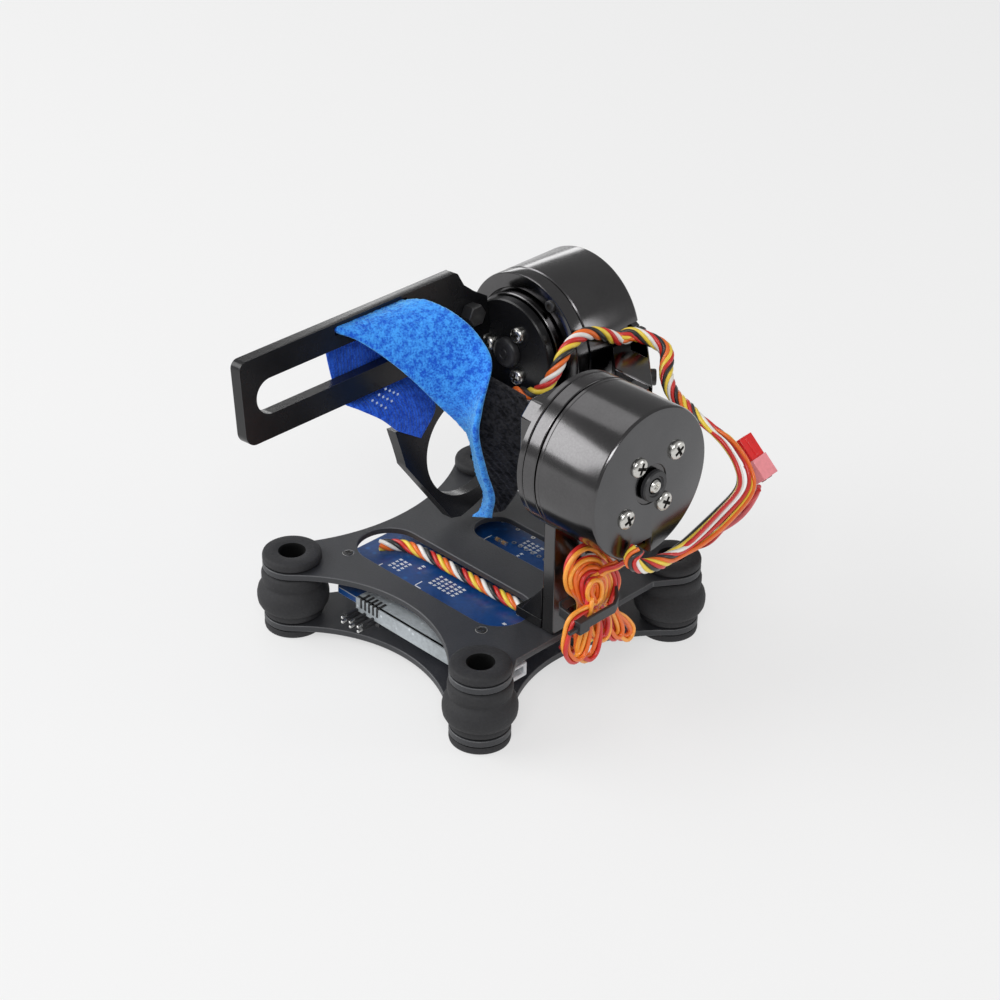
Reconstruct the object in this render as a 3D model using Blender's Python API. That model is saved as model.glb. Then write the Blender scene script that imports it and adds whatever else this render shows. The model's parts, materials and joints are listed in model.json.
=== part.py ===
"""Two-axis brushless camera gimbal on four rubber dampers, modelled standing on its damper feet.

Lengths are written in millimetres and scaled to metres when meshes are made.
The origin is the centre of the lower plate's underside. +X is the roll axis, from the camera tray
towards the roll motor. +Y is the pitch axis, towards the pitch motor. +Z is up.
"""
import math

import bmesh
import bpy
from mathutils import Matrix, Vector

MM = 0.001
GAP = 0.3

# Base
FOOT_Z = -2.0
PLATE_T = 1.5
LOWER_Z = 0.0
UPPER_Z = 13.6
UPPER_TOP = UPPER_Z + PLATE_T
DAMPER_XY = 30.0
LOBE_R = 6.7
SIDE_ARC_R = 34.3
SIDE_ARC_C = 58.0
FRONT_EDGE_X = 32.3
REAR_EDGE_X = -27.3
PLATE_HOLE_R = 4.5
WINDOW_Y = 10.35
WINDOW_R = 7.35
WINDOW_X = (-19.2, 15.6)
STANDOFF_X = (-23.3, 19.3)
STANDOFF_Y = 19.2
BOARD_Z = 8.4
BOARD_T = 1.6

# Motors
AXIS_Z = 56.2
ROLL_Y = 0.0
PITCH_X = -12.2
MOTOR_R = 17.0
CUP_IN_R = 15.6
RING_IN_R = 15.5
ROLL_BACK_X = 26.6
ROLL_RING_X = (28.4, 31.65)
ROLL_CUP_X = (31.95, 48.5)
PITCH_RING_Y = (24.6, 28.15)
PITCH_CUP_Y = (28.45, 45.0)
SCREW_LONG_R = 9.0
SCREW_SHORT_R = 6.9
SCREW_TURN = math.radians(36.0)

# Arm
ARM_X = (18.8, 23.2)
ARM_Z = (48.0, 58.4)
SIDE_Y = (45.3, 47.6)

# Camera tray, in the tray's own level frame about the pitch axis
TRAY_TILT = math.radians(-5.0)
TRAY_X = (-8.6, -5.7)
FLANGE_Y = (20.0, 22.3)
FLANGE_R = 12.3
LENS_Y = 10.5
LENS_W = -21.4
LENS_R = 12.1
STRAP_SLOT_W = 18.7
STRAP_T = 1.2

# Cords
CABLE_D = 3.2
BOARD_CABLE_D = 2.9
WIRE_D = 2.4

X = Vector((1, 0, 0))
Y = Vector((0, 1, 0))
Z = Vector((0, 0, 1))


def clear_scene():
    for item in list(bpy.data.objects):
        bpy.data.objects.remove(item, do_unlink=True)


def material(name, colour, roughness, metallic=0.0):
    mat = bpy.data.materials.get(name)
    if mat is None:
        mat = bpy.data.materials.new(name)
        mat.use_nodes = True
        shader = mat.node_tree.nodes["Principled BSDF"]
        shader.inputs["Base Color"].default_value = (*colour, 1.0)
        shader.inputs["Roughness"].default_value = roughness
        shader.inputs["Metallic"].default_value = metallic
        mat.diffuse_color = (*colour, 1.0)
    return mat


BLACK_PLATE = ("black_glass_fibre", (0.035, 0.036, 0.04), 0.55, 0.0)
RUBBER = ("black_rubber", (0.03, 0.03, 0.035), 0.8, 0.0)
ANODISED = ("black_anodised", (0.02, 0.02, 0.022), 0.28, 0.9)
STEEL = ("bright_steel", (0.72, 0.7, 0.66), 0.25, 1.0)
BLACK_STEEL = ("black_steel", (0.03, 0.03, 0.03), 0.35, 1.0)
BOARD_BLUE = ("blue_board", (0.01, 0.07, 0.28), 0.35, 0.0)
CHIP = ("chip_black", (0.02, 0.02, 0.02), 0.5, 0.0)
NYLON = ("white_nylon", (0.8, 0.8, 0.78), 0.5, 0.0)
GOLD = ("gold_pins", (0.75, 0.55, 0.22), 0.3, 1.0)
IRON = ("stator_iron", (0.35, 0.34, 0.33), 0.45, 1.0)
COPPER = ("copper_wire", (0.6, 0.2, 0.08), 0.35, 1.0)
MAGNET = ("magnet_nickel", (0.5, 0.5, 0.5), 0.3, 1.0)
BLUE_CLOTH = ("blue_loop_cloth", (0.02, 0.12, 0.75), 0.95, 0.0)
BLACK_CLOTH = ("black_hook_cloth", (0.015, 0.015, 0.015), 0.95, 0.0)
CABLE = ("cable_jacket", (0.75, 0.3, 0.1), 0.45, 0.0)
RED_WIRE = ("red_jacket", (0.6, 0.02, 0.02), 0.4, 0.0)
BLACK_PLASTIC = ("black_plastic", (0.02, 0.02, 0.02), 0.45, 0.0)


def new_object(name, bm, look, angle=35.0):
    bmesh.ops.remove_doubles(bm, verts=bm.verts, dist=0.0005)
    bmesh.ops.recalc_face_normals(bm, faces=bm.faces)
    bmesh.ops.scale(bm, vec=(MM, MM, MM), verts=bm.verts)
    mesh = bpy.data.meshes.new(name)
    bm.to_mesh(mesh)
    bm.free()
    mesh.materials.append(material(*look))
    mesh.shade_smooth()
    mesh.set_sharp_from_angle(angle=math.radians(angle))
    obj = bpy.data.objects.new(name, mesh)
    bpy.context.scene.collection.objects.link(obj)
    return obj


def frame(origin, u, v, n):
    """A drawing frame: u and v lie in the drawing plane and n is the way it is extruded."""
    return Vector(origin), Vector(u), Vector(v), Vector(n)


FLAT = frame((0, 0, 0), X, Y, Z)
ACROSS_X = frame((0, 0, 0), Y, Z, X)
ACROSS_Y = frame((0, 0, 0), Z, X, Y)


def place(where, u, v, n):
    origin, du, dv, dn = where
    return origin + du * u + dv * v + dn * n


def arc(cu, cv, radius, start, end, steps):
    """Points on an arc, with angles in degrees."""
    points = []
    for i in range(steps + 1):
        a = math.radians(start + (end - start) * i / steps)
        points.append((cu + radius * math.cos(a), cv + radius * math.sin(a)))
    return points


def circle(cu, cv, radius, steps=20):
    return arc(cu, cv, radius, 0.0, 360.0, steps)[:-1]


def prism(bm, outer, where, low, high, holes=()):
    """Extrude an outline, with its holes, from low to high along the frame's n."""
    loops = [outer] + list(holes)
    rings = []
    for level in (low, high):
        edges = []
        rows = []
        for loop in loops:
            row = [bm.verts.new(place(where, u, v, level)) for u, v in loop]
            edges += [bm.edges.new((row[i - 1], row[i])) for i in range(len(row))]
            rows.append(row)
        bmesh.ops.triangle_fill(bm, edges=edges, use_beauty=True)
        rings.append(rows)
    for row_low, row_high in zip(rings[0], rings[1]):
        for i in range(len(row_low)):
            bm.faces.new((row_low[i - 1], row_low[i], row_high[i], row_high[i - 1]))


def box(bm, low, high):
    outline = [(low[0], low[1]), (high[0], low[1]), (high[0], high[1]), (low[0], high[1])]
    prism(bm, outline, FLAT, low[2], high[2])


def lathe(bm, profile, where, segments=40):
    """Turn (radius, height) points about the frame's n. The profile closes on itself or on the axis."""
    rows = []
    for radius, height in profile:
        if radius < 1e-6:
            rows.append([bm.verts.new(place(where, 0.0, 0.0, height))])
            continue
        row = []
        for i in range(segments):
            a = 2.0 * math.pi * i / segments
            row.append(bm.verts.new(place(where, radius * math.cos(a), radius * math.sin(a), height)))
        rows.append(row)
    count = len(rows)
    for k in range(count):
        one = rows[k]
        two = rows[(k + 1) % count]
        if len(one) == 1 and len(two) == 1:
            continue
        for i in range(segments):
            j = (i + 1) % segments
            if len(one) == 1:
                bm.faces.new((one[0], two[i], two[j]))
            elif len(two) == 1:
                bm.faces.new((one[i], one[j], two[0]))
            else:
                bm.faces.new((one[i], one[j], two[j], two[i]))


def screw(bm, where, head_r, head_h, shank_r, shank_l, segments=10):
    """A pan-head screw: the head stands on n = 0 and points along n, the shank goes the other way."""
    profile = [
        (0.0, -shank_l),
        (shank_r, -shank_l),
        (shank_r, 0.0),
        (head_r, 0.0),
        (head_r, head_h * 0.6),
        (head_r * 0.7, head_h),
        (0.0, head_h),
    ]
    lathe(bm, profile, where, segments)


def cut_away(obj, cutter):
    """Take the cutter's shapes out of a piece."""
    cut = obj.modifiers.new("cut", "BOOLEAN")
    cut.operation = "DIFFERENCE"
    cut.solver = "EXACT"
    cut.object = cutter


def bossed_block(bm, outer, where, low, high, bosses, top):
    """An extruded outline with smaller outlines standing on its high face, all one body."""
    base = [bm.verts.new(place(where, u, v, low)) for u, v in outer]
    roof = [bm.verts.new(place(where, u, v, high)) for u, v in outer]
    edges = [bm.edges.new((base[i - 1], base[i])) for i in range(len(base))]
    bmesh.ops.triangle_fill(bm, edges=edges, use_beauty=True)
    rows = [(base, roof)]
    edges = [bm.edges.new((roof[i - 1], roof[i])) for i in range(len(roof))]
    for boss in bosses:
        foot = [bm.verts.new(place(where, u, v, high)) for u, v in boss]
        tip = [bm.verts.new(place(where, u, v, top)) for u, v in boss]
        edges += [bm.edges.new((foot[i - 1], foot[i])) for i in range(len(foot))]
        rows.append((foot, tip))
        bm.faces.new(tip)
    bmesh.ops.triangle_fill(bm, edges=edges, use_beauty=True)
    for foot, tip in rows:
        for i in range(len(foot)):
            bm.faces.new((foot[i - 1], foot[i], tip[i], tip[i - 1]))


def smooth_path(points, step):
    """Even points on a smooth curve through the route's points."""
    pts = [Vector(p) for p in points]
    pts = [pts[0] * 2 - pts[1]] + pts + [pts[-1] * 2 - pts[-2]]
    fine = []
    for k in range(1, len(pts) - 2):
        p0, p1, p2, p3 = pts[k - 1:k + 3]
        for i in range(24):
            t = i / 24.0
            fine.append(0.5 * (
                2 * p1 + (p2 - p0) * t + (2 * p0 - 5 * p1 + 4 * p2 - p3) * t * t
                + (3 * p1 - p0 - 3 * p2 + p3) * t * t * t
            ))
    fine.append(pts[-2].copy())
    total = sum((b - a).length for a, b in zip(fine, fine[1:]))
    count = max(3, round(total / step))
    out = [fine[0]]
    walked = 0.0
    target = total / count
    for a, b in zip(fine, fine[1:]):
        length = (b - a).length
        while walked + length >= target - 1e-9 and len(out) < count:
            out.append(a.lerp(b, (target - walked) / max(length, 1e-9)))
            target += total / count
        walked += length
    out.append(fine[-1])
    return out


def cord(name, points, diameter, look, step):
    data = bpy.data.curves.new(name, "CURVE")
    data.dimensions = "3D"
    data.bevel_depth = diameter * MM / 2.0
    data.bevel_resolution = 2
    data.use_fill_caps = True
    path = smooth_path(points, step)
    line = data.splines.new("POLY")
    line.points.add(len(path) - 1)
    for spot, p in zip(line.points, path):
        spot.co = (*(p * MM), 1.0)
    data.materials.append(material(*look))
    obj = bpy.data.objects.new(name, data)
    bpy.context.scene.collection.objects.link(obj)
    return obj


def ribbon(bm, lefts, rights, thickness, steps):
    """A strap between two edge routes: a closed strip with the given thickness."""
    left = smooth_count(lefts, steps)
    right = smooth_count(rights, steps)
    rows = []
    for i in range(steps + 1):
        a = max(i - 1, 0)
        b = min(i + 1, steps)
        along = (left[b] + right[b]) - (left[a] + right[a])
        normal = along.cross(right[i] - left[i]).normalized() * thickness * 0.5
        rows.append([bm.verts.new(p) for p in (
            left[i] - normal, right[i] - normal, right[i] + normal, left[i] + normal)])
    for one, two in zip(rows, rows[1:]):
        for k in range(4):
            bm.faces.new((one[k - 1], one[k], two[k], two[k - 1]))
    bm.faces.new(rows[0])
    bm.faces.new(rows[-1][::-1])
    bmesh.ops.triangulate(bm, faces=bm.faces)


def smooth_count(points, steps):
    """A fixed number of points on a smooth curve, spaced by the route's own stations."""
    pts = [Vector(p) for p in points]
    pts = [pts[0] * 2 - pts[1]] + pts + [pts[-1] * 2 - pts[-2]]
    spans = len(pts) - 3
    out = []
    for i in range(steps + 1):
        s = spans * i / steps
        k = min(int(s), spans - 1)
        t = s - k
        p0, p1, p2, p3 = pts[k:k + 4]
        out.append(0.5 * (
            2 * p1 + (p2 - p0) * t + (2 * p0 - 5 * p1 + 4 * p2 - p3) * t * t
            + (3 * p1 - p0 - 3 * p2 + p3) * t * t * t
        ))
    return out


# ---------------------------------------------------------------- base plates

def lobe(cx, cy, start, end):
    return arc(cx, cy, LOBE_R, start, end, 7)


def side_arc(side):
    """The hollow curve between two lobes, seen from the given side of the plate, in degrees."""
    half = math.degrees(math.asin(DAMPER_XY / (SIDE_ARC_R + LOBE_R))) * 0.985
    return arc(
        SIDE_ARC_C * math.cos(math.radians(side)),
        SIDE_ARC_C * math.sin(math.radians(side)),
        SIDE_ARC_R, side + 180.0 + half, side + 180.0 - half, 9)


def lower_outline():
    points = []
    for quarter in range(4):
        mid = 45.0 + 90.0 * quarter
        cx = DAMPER_XY * math.sqrt(2.0) * math.cos(math.radians(mid))
        cy = DAMPER_XY * math.sqrt(2.0) * math.sin(math.radians(mid))
        points += lobe(cx, cy, mid - 88.0, mid + 88.0)
        points += side_arc(90.0 * (quarter + 1))[1:-1]
    return points


def upper_outline():
    """Hollow at the two sides, shallow at the back and straight at the front."""
    d = DAMPER_XY
    rear_r = 45.9
    rear_c = REAR_EDGE_X - rear_r
    half = math.degrees(math.asin(d / (rear_r + LOBE_R))) * 0.985
    points = [(FRONT_EDGE_X, 21.5)]
    points += lobe(d, d, -40.0, 133.0)
    points += side_arc(90.0)[1:-1]
    points += lobe(-d, d, 47.0, 215.0)
    points += arc(rear_c, 0.0, rear_r, half, -half, 9)[1:-1]
    points += lobe(-d, -d, 145.0, 313.0)
    points += side_arc(270.0)[1:-1]
    points += lobe(d, -d, 227.0, 400.0)
    points += [(FRONT_EDGE_X, -21.5)]
    return points


def obround(cx0, cx1, cy, radius):
    return arc(cx1, cy, radius, -90.0, 90.0, 9) + arc(cx0, cy, radius, 90.0, 270.0, 9)


def corners():
    return [(sx * DAMPER_XY, sy * DAMPER_XY) for sx in (-1, 1) for sy in (-1, 1)]


def base_plates():
    holes = [circle(x, y, PLATE_HOLE_R, 14) for x, y in corners()]
    slots = [obround(-12.0, 12.0, y, 2.0) for y in (-12.0, 12.0)]
    bm = bmesh.new()
    prism(bm, lower_outline(), FLAT, LOWER_Z, LOWER_Z + PLATE_T, holes + slots)
    new_object("lower_plate", bm, BLACK_PLATE)

    windows = [obround(*WINDOW_X, -WINDOW_Y, WINDOW_R), obround(-7.5, 15.6, 12.2, 5.2)]
    posts = [circle(x, y, 2.0, 8) for x in STANDOFF_X for y in (-STANDOFF_Y, STANDOFF_Y)]
    bm = bmesh.new()
    prism(bm, upper_outline(), FLAT, UPPER_Z, UPPER_TOP, holes + windows + posts)
    new_object("upper_plate", bm, BLACK_PLATE)


def dampers():
    """Hollow rubber balls snapped into both plates by a neck, with a flange outside each plate."""
    top = UPPER_TOP + GAP
    neck = PLATE_HOLE_R - 0.4
    profile = [
        (2.75, FOOT_Z), (LOBE_R, FOOT_Z), (LOBE_R, -GAP), (neck, -GAP), (neck, PLATE_T + GAP),
        (6.4, PLATE_T + GAP), (8.1, 4.8), (8.1, 7.8), (6.9, 10.4), (6.9, UPPER_Z - GAP),
        (neck, UPPER_Z - GAP), (neck, top), (LOBE_R, top), (LOBE_R, top + 2.0), (2.75, top + 2.0),
        (2.75, 11.6), (5.6, 6.6), (2.75, 2.6),
    ]
    for i, (x, y) in enumerate(corners()):
        bm = bmesh.new()
        lathe(bm, profile, frame((x, y, 0), X, Y, Z), 12)
        new_object("damper_%d" % (i + 1), bm, RUBBER)


# ---------------------------------------------------------------- controller

def controller():
    x0, x1, y1 = -29.4, 23.0, 25.0
    cut = 6.0
    outline = [
        (x0 + cut, -y1), (x1 - cut, -y1), (x1, cut - y1), (x1, y1 - cut),
        (x1 - cut, y1), (x0 + cut, y1), (x0, y1 - cut), (x0, cut - y1),
    ]
    holes = [circle(x, y, 1.6, 8) for x in STANDOFF_X for y in (-STANDOFF_Y, STANDOFF_Y)]
    bm = bmesh.new()
    prism(bm, outline, FLAT, BOARD_Z, BOARD_Z + BOARD_T, holes)
    new_object("controller_board", bm, BOARD_BLUE)

    under = BOARD_Z - GAP
    bm = bmesh.new()
    box(bm, (-11.0, -5.0, under - 1.2), (-1.0, 5.0, under))
    new_object("board_chip", bm, CHIP)

    pins = []
    for i in range(3):
        x = -13.7 + 2.6 * i
        for z in (under - 0.9, under - 2.1):
            pins.append([(z - 0.3, x - 0.3), (z + 0.3, x - 0.3), (z + 0.3, x + 0.3), (z - 0.3, x + 0.3)])
    outline = [(under - 2.8, -15.0), (under, -15.0), (under, -7.2), (under - 2.8, -7.2)]
    bm = bmesh.new()
    bossed_block(bm, outline, frame((0, 0, 0), Z, X, -Y), 22.2, 24.8, pins, 30.0)
    new_object("pin_header", bm, GOLD)

    bm = bmesh.new()
    outline = [(-19.4, under - 4.4), (-11.0, under - 4.4), (-11.0, under), (-19.4, under)]
    hollow = [(-18.6, under - 3.7), (-11.8, under - 3.7), (-11.8, under - 0.8), (-18.6, under - 0.8)]
    prism(bm, outline, ACROSS_X, 21.5, 27.5, [hollow])
    new_object("motor_socket", bm, NYLON)

    low = BOARD_Z + BOARD_T + GAP
    high = UPPER_Z - GAP
    profile = [
        (0.0, 5.6), (1.2, 5.6), (1.2, low), (2.6, low), (2.6, high), (1.6, high), (1.6, 15.0), (0.0, 15.0),
    ]
    count = 0
    for x in STANDOFF_X:
        for y in (-STANDOFF_Y, STANDOFF_Y):
            count += 1
            bm = bmesh.new()
            lathe(bm, profile, frame((x, y, 0), X, Y, Z), 8)
            new_object("board_post_%d" % count, bm, NYLON)


# ---------------------------------------------------------------- motors

def motor_cup(name, where, start, end, front):
    """The housing: a thin shell with an end wall that carries the bearing and the stator."""
    bm = bmesh.new()
    wall = end - 1.7
    profile = front + [
        (MOTOR_R, start), (MOTOR_R, end - 0.35), (MOTOR_R - 0.35, end),
        (1.8, end), (1.8, start + 4.5), (4.4, start + 4.5), (4.4, wall), (CUP_IN_R, wall),
    ]
    lathe(bm, profile, where, 32)
    return new_object(name, bm, ANODISED)


def cross_pattern():
    """The four housing screws: two on a long and two on a short diagonal."""
    spots = []
    for k, radius in enumerate((SCREW_LONG_R, SCREW_SHORT_R, SCREW_LONG_R, SCREW_SHORT_R)):
        a = SCREW_TURN + math.pi / 2.0 * k
        spots.append((radius * math.cos(a), radius * math.sin(a)))
    return spots


def motor_inside(prefix, where, start, end):
    """Stator iron, its copper coils and the bearing, all inside the housing."""
    low = start + 5.2
    high = end - 3.6
    outline = []
    teeth = 9
    for k in range(teeth):
        mid = 360.0 * k / teeth
        for turn, radius in (
                (-20.0, 7.0), (-7.0, 7.4), (-7.0, 11.0), (-17.0, 12.2), (0.0, 12.4), (17.0, 12.2),
                (7.0, 11.0), (7.0, 7.4)):
            a = math.radians(mid + turn)
            outline.append((radius * math.cos(a), radius * math.sin(a)))
    bm = bmesh.new()
    prism(bm, outline, where, low, high, [circle(0.0, 0.0, 4.8, 18)])
    new_object(prefix + "_stator", bm, IRON)

    bm = bmesh.new()
    bars = []
    for k in range(teeth):
        a = 360.0 * (k + 0.5) / teeth
        bars.append(arc(0.0, 0.0, 10.3, a - 9.0, a + 9.0, 1) + arc(0.0, 0.0, 8.1, a + 8.0, a - 8.0, 1))
    outer = circle(0.0, 0.0, 10.7, 27)
    inner = circle(0.0, 0.0, 7.6, 18)
    cage(bm, outer, inner, bars, where, low - 1.6, low - GAP, high + GAP, high + 1.6)
    new_object(prefix + "_windings", bm, COPPER)

    bm = bmesh.new()
    lathe(bm, [(1.8, start + 1.3), (4.2, start + 1.3), (4.2, start + 4.2), (1.8, start + 4.2)], where, 16)
    new_object(prefix + "_bearing", bm, STEEL)


def cage(bm, outer, inner, bars, where, a, b, c, d):
    """Two flat rings joined by bars: the end turns of a stator and the wire in its slots."""
    def row(loop, level):
        return [bm.verts.new(place(where, u, v, level)) for u, v in loop]

    def rim(verts):
        return [bm.edges.new((verts[i - 1], verts[i])) for i in range(len(verts))]

    def wall(one, two):
        for i in range(len(one)):
            bm.faces.new((one[i - 1], one[i], two[i], two[i - 1]))

    for outside, inside in ((a, b), (d, c)):
        far = [row(outer, outside), row(inner, outside)]
        near = [row(outer, inside), row(inner, inside)]
        feet = [row(bar, inside) for bar in bars]
        bmesh.ops.triangle_fill(bm, edges=rim(far[0]) + rim(far[1]), use_beauty=True)
        edges = rim(near[0]) + rim(near[1])
        for foot in feet:
            edges += rim(foot)
        bmesh.ops.triangle_fill(bm, edges=edges, use_beauty=True)
        wall(far[0], near[0])
        wall(far[1], near[1])
        if outside == a:
            low_feet = feet
    for foot, head in zip(low_feet, feet):
        wall(foot, head)


def motor_rotor(name, where, profile):
    bm = bmesh.new()
    lathe(bm, profile, where, 28)
    new_object(name, bm, ANODISED)


def motor_magnets(name, where, low, high):
    """A ring of twelve magnets inside the rotor, with a groove between each two."""
    inner = []
    for k in range(12):
        mid = 360.0 * k / 12
        for turn, radius in ((-13.0, 13.1), (13.0, 13.1), (15.0, 13.6)):
            a = math.radians(mid + turn)
            inner.append((radius * math.cos(a), radius * math.sin(a)))
    bm = bmesh.new()
    prism(bm, circle(0.0, 0.0, 13.95, 24), where, low, high, [inner])
    new_object(name, bm, MAGNET)


ROLL_FRAME = frame((0, ROLL_Y, AXIS_Z), Y, Z, X)
PITCH_FRAME = frame((PITCH_X, 0, AXIS_Z), Z, X, Y)


def roll_motor(notches):
    start, end = ROLL_CUP_X
    cup = motor_cup("roll_motor_housing", ROLL_FRAME, start, end, [(CUP_IN_R, start)])
    cut_away(cup, notches)
    motor_inside("roll_motor", ROLL_FRAME, start, end)
    motor_rotor("roll_motor_rotor", ROLL_FRAME, [
        (1.8, 23.5), (8.0, 23.5), (8.0, ROLL_BACK_X), (MOTOR_R - 0.1, ROLL_BACK_X),
        (MOTOR_R - 0.1, 28.1), (15.15, 28.1), (15.15, 43.5), (14.35, 43.5), (14.35, 29.6), (1.8, 29.6),
    ])
    motor_magnets("roll_motor_magnets", ROLL_FRAME, 33.5, 43.2)
    bm = bmesh.new()
    lathe(bm, [(0.0, 23.5), (1.5, 23.5), (1.5, 49.7), (1.2, 50.1), (0.0, 50.1)], ROLL_FRAME, 16)
    new_object("roll_motor_shaft", bm, STEEL)
    bm = bmesh.new()
    lathe(bm, [(1.8, 48.8), (3.5, 48.8), (3.5, 49.6), (3.2, 49.9), (1.8, 49.9)], ROLL_FRAME, 20)
    new_object("roll_shaft_collar", bm, BLACK_PLASTIC)
    for i, (u, v) in enumerate(cross_pattern()):
        bm = bmesh.new()
        screw(bm, frame((end + GAP, ROLL_Y + u, AXIS_Z + v), Y, Z, X), 2.15, 0.8, 0.9, 1.6)
        new_object("roll_motor_screw_%d" % (i + 1), bm, STEEL)


def bracket(holes):
    """A ring that holds the roll motor, a wide leg and a foot screwed to the upper plate."""
    lo, hi = ROLL_RING_X
    half = 10.0
    start = math.degrees(math.asin(half / MOTOR_R))
    outline = arc(0.0, AXIS_Z, MOTOR_R, start - 90.0, 270.0 - start, 36)
    foot_top = UPPER_TOP + 2.6
    outline += [(-half, UPPER_TOP + GAP), (half, UPPER_TOP + GAP)]
    bm = bmesh.new()
    prism(bm, outline, ACROSS_X, lo, hi, [circle(0.0, AXIS_Z, RING_IN_R, 40)])
    new_object("roll_bracket", bm, ANODISED)

    base = UPPER_TOP + GAP
    back = lo - GAP
    bm = bmesh.new()
    outline = [
        (base, 20.5), (foot_top, 20.5), (foot_top, 26.6), (foot_top + 0.8, 27.2), (foot_top + 8.0, back),
        (base, back),
    ]
    prism(bm, outline, ACROSS_Y, -half, half)
    foot = new_object("bracket_foot", bm, ANODISED)
    cut_away(foot, holes)

    for i, y in enumerate((-5.5, 5.5)):
        bm = bmesh.new()
        screw(bm, frame((23.8, y, foot_top + GAP), X, Y, Z), 2.0, 1.3, 1.2, 2.4)
        new_object("bracket_screw_%d" % (i + 1), bm, STEEL)


# ---------------------------------------------------------------- arm

def arm():
    lo, hi = ARM_X
    z0, z1 = ARM_Z
    bm = bmesh.new()
    outline = [
        (-8.0, 50.2), (-5.0, 46.8), (9.0, 46.8), (14.5, z0), (27.6, z0), (27.6, z1), (14.5, z1),
        (11.0, 62.6), (7.0, 66.2), (-5.0, 66.2), (-8.0, 63.0),
    ]
    holes = []
    for k in range(4):
        a = math.radians(45.0 + 90.0 * k)
        holes.append(circle(5.0 * math.cos(a), AXIS_Z + 5.0 * math.sin(a), 1.3, 8))
    prism(bm, outline, ACROSS_X, lo, hi, holes)
    new_object("arm_cross_plate", bm, ANODISED)

    bm = bmesh.new()
    outline = [
        (12.6, 27.9), (23.7, 27.9), (4.0, 47.6), (2.4, 47.6), (2.4, 45.3), (5.1, 45.3), (5.1, 35.2),
    ]
    prism(bm, outline, FLAT, z0, z1)
    new_object("arm_corner_block", bm, ANODISED)

    slant = Vector((1, 1, 0)).normalized()
    side = Vector((1, -1, 0)).normalized()
    bm = bmesh.new()
    profile = [(0.0, GAP), (1.9, GAP), (1.9, 1.5), (1.5, 1.8), (0.9, 1.8), (0.9, 1.0), (0.0, 1.0)]
    lathe(bm, profile, frame((13.8, 37.8, 53.2), Z, side, slant), 16)
    new_object("corner_screw", bm, BLACK_STEEL)

    lo, hi = SIDE_Y
    bm = bmesh.new()
    outline = arc(AXIS_Z, PITCH_X, 12.0, 72.0, -222.0, 24)
    outline = [(z1, 2.1)] + outline + [(z0, 2.1)]
    holes = [circle(AXIS_Z, PITCH_X, 3.0, 16)]
    for u, v in cross_pattern():
        holes.append(circle(AXIS_Z + u, PITCH_X + v, 1.3, 8))
    prism(bm, outline, ACROSS_Y, lo, hi, holes)
    new_object("arm_side_plate", bm, ANODISED)


def pitch_motor(notches):
    start, end = PITCH_CUP_Y
    cup = motor_cup("pitch_motor_housing", PITCH_FRAME, start, end, [(CUP_IN_R, start)])
    cut_away(cup, notches)
    motor_inside("pitch_motor", PITCH_FRAME, start, end)
    lo, hi = PITCH_RING_Y
    bm = bmesh.new()
    profile = [(13.4, lo), (MOTOR_R - 0.3, lo), (MOTOR_R, lo + 0.3), (MOTOR_R, hi), (CUP_IN_R, hi)]
    profile += [(CUP_IN_R, lo + 1.3), (13.4, lo + 1.3)]
    lathe(bm, profile, PITCH_FRAME, 32)
    new_object("pitch_motor_ring", bm, ANODISED)
    motor_rotor("pitch_motor_rotor", PITCH_FRAME, [
        (1.8, 22.6), (9.4, 22.6), (9.4, 23.6), (10.6, 23.6), (10.6, 22.6), (12.9, 22.6), (12.9, 26.2),
        (15.15, 26.2), (15.15, 40.0), (14.35, 40.0), (14.35, 27.6), (1.8, 27.6),
    ])
    motor_magnets("pitch_motor_magnets", PITCH_FRAME, 30.0, 39.7)
    bm = bmesh.new()
    lathe(bm, [(0.0, 22.6), (1.5, 22.6), (1.5, 48.0), (1.2, 48.4), (0.0, 48.4)], PITCH_FRAME, 16)
    new_object("pitch_motor_shaft", bm, STEEL)


# ---------------------------------------------------------------- tray

TRAY_TURN = Matrix.Rotation(TRAY_TILT, 3, "Y")
TRAY_U = Y
TRAY_V = TRAY_TURN @ Z
TRAY_N = TRAY_TURN @ X
TRAY_FRAME = frame((PITCH_X, 0, AXIS_Z), TRAY_U, TRAY_V, TRAY_N)


def tray_point(x, y, w):
    """A point given in the tray's own level frame about the pitch axis."""
    return Vector((PITCH_X, 0, AXIS_Z)) + TRAY_N * x + Y * y + TRAY_V * w


def tray_outline():
    """The long bar, the shoulder that meets the flange, and the lens ring with its stop."""
    ring = LENS_R + 3.5
    points = arc(-48.5, 4.3, 3.0, 180.0, 270.0, 4)
    points += [(1.0, 1.3), (2.2, 0.3), (2.2, -4.6)]
    points += arc(LENS_Y, LENS_W, ring, 118.0, 140.0, 4)
    points += [(-10.6, -11.0), (-8.1, -18.5), (-8.0, -19.8), (4.6, -37.9)]
    points += arc(0.0, 0.0, 39.4, -79.0, -66.0, 4)
    points += [(20.6, -32.8), (24.2, -28.2), (25.9, -22.6), (25.9, -16.6), (24.2, -16.6)]
    points += [(24.2, -12.4), (19.7, -12.4), (19.7, -3.0)]
    points += [(17.9, -3.0), (17.9, 3.0), (19.7, 3.0), (19.7, 12.0)]
    points += [(15.7, 14.5), (12.9, 16.8), (11.2, 20.0), (10.4, 20.5)]
    points += [(-48.0, 20.5), (-51.5, 17.0)]
    return points


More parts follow.
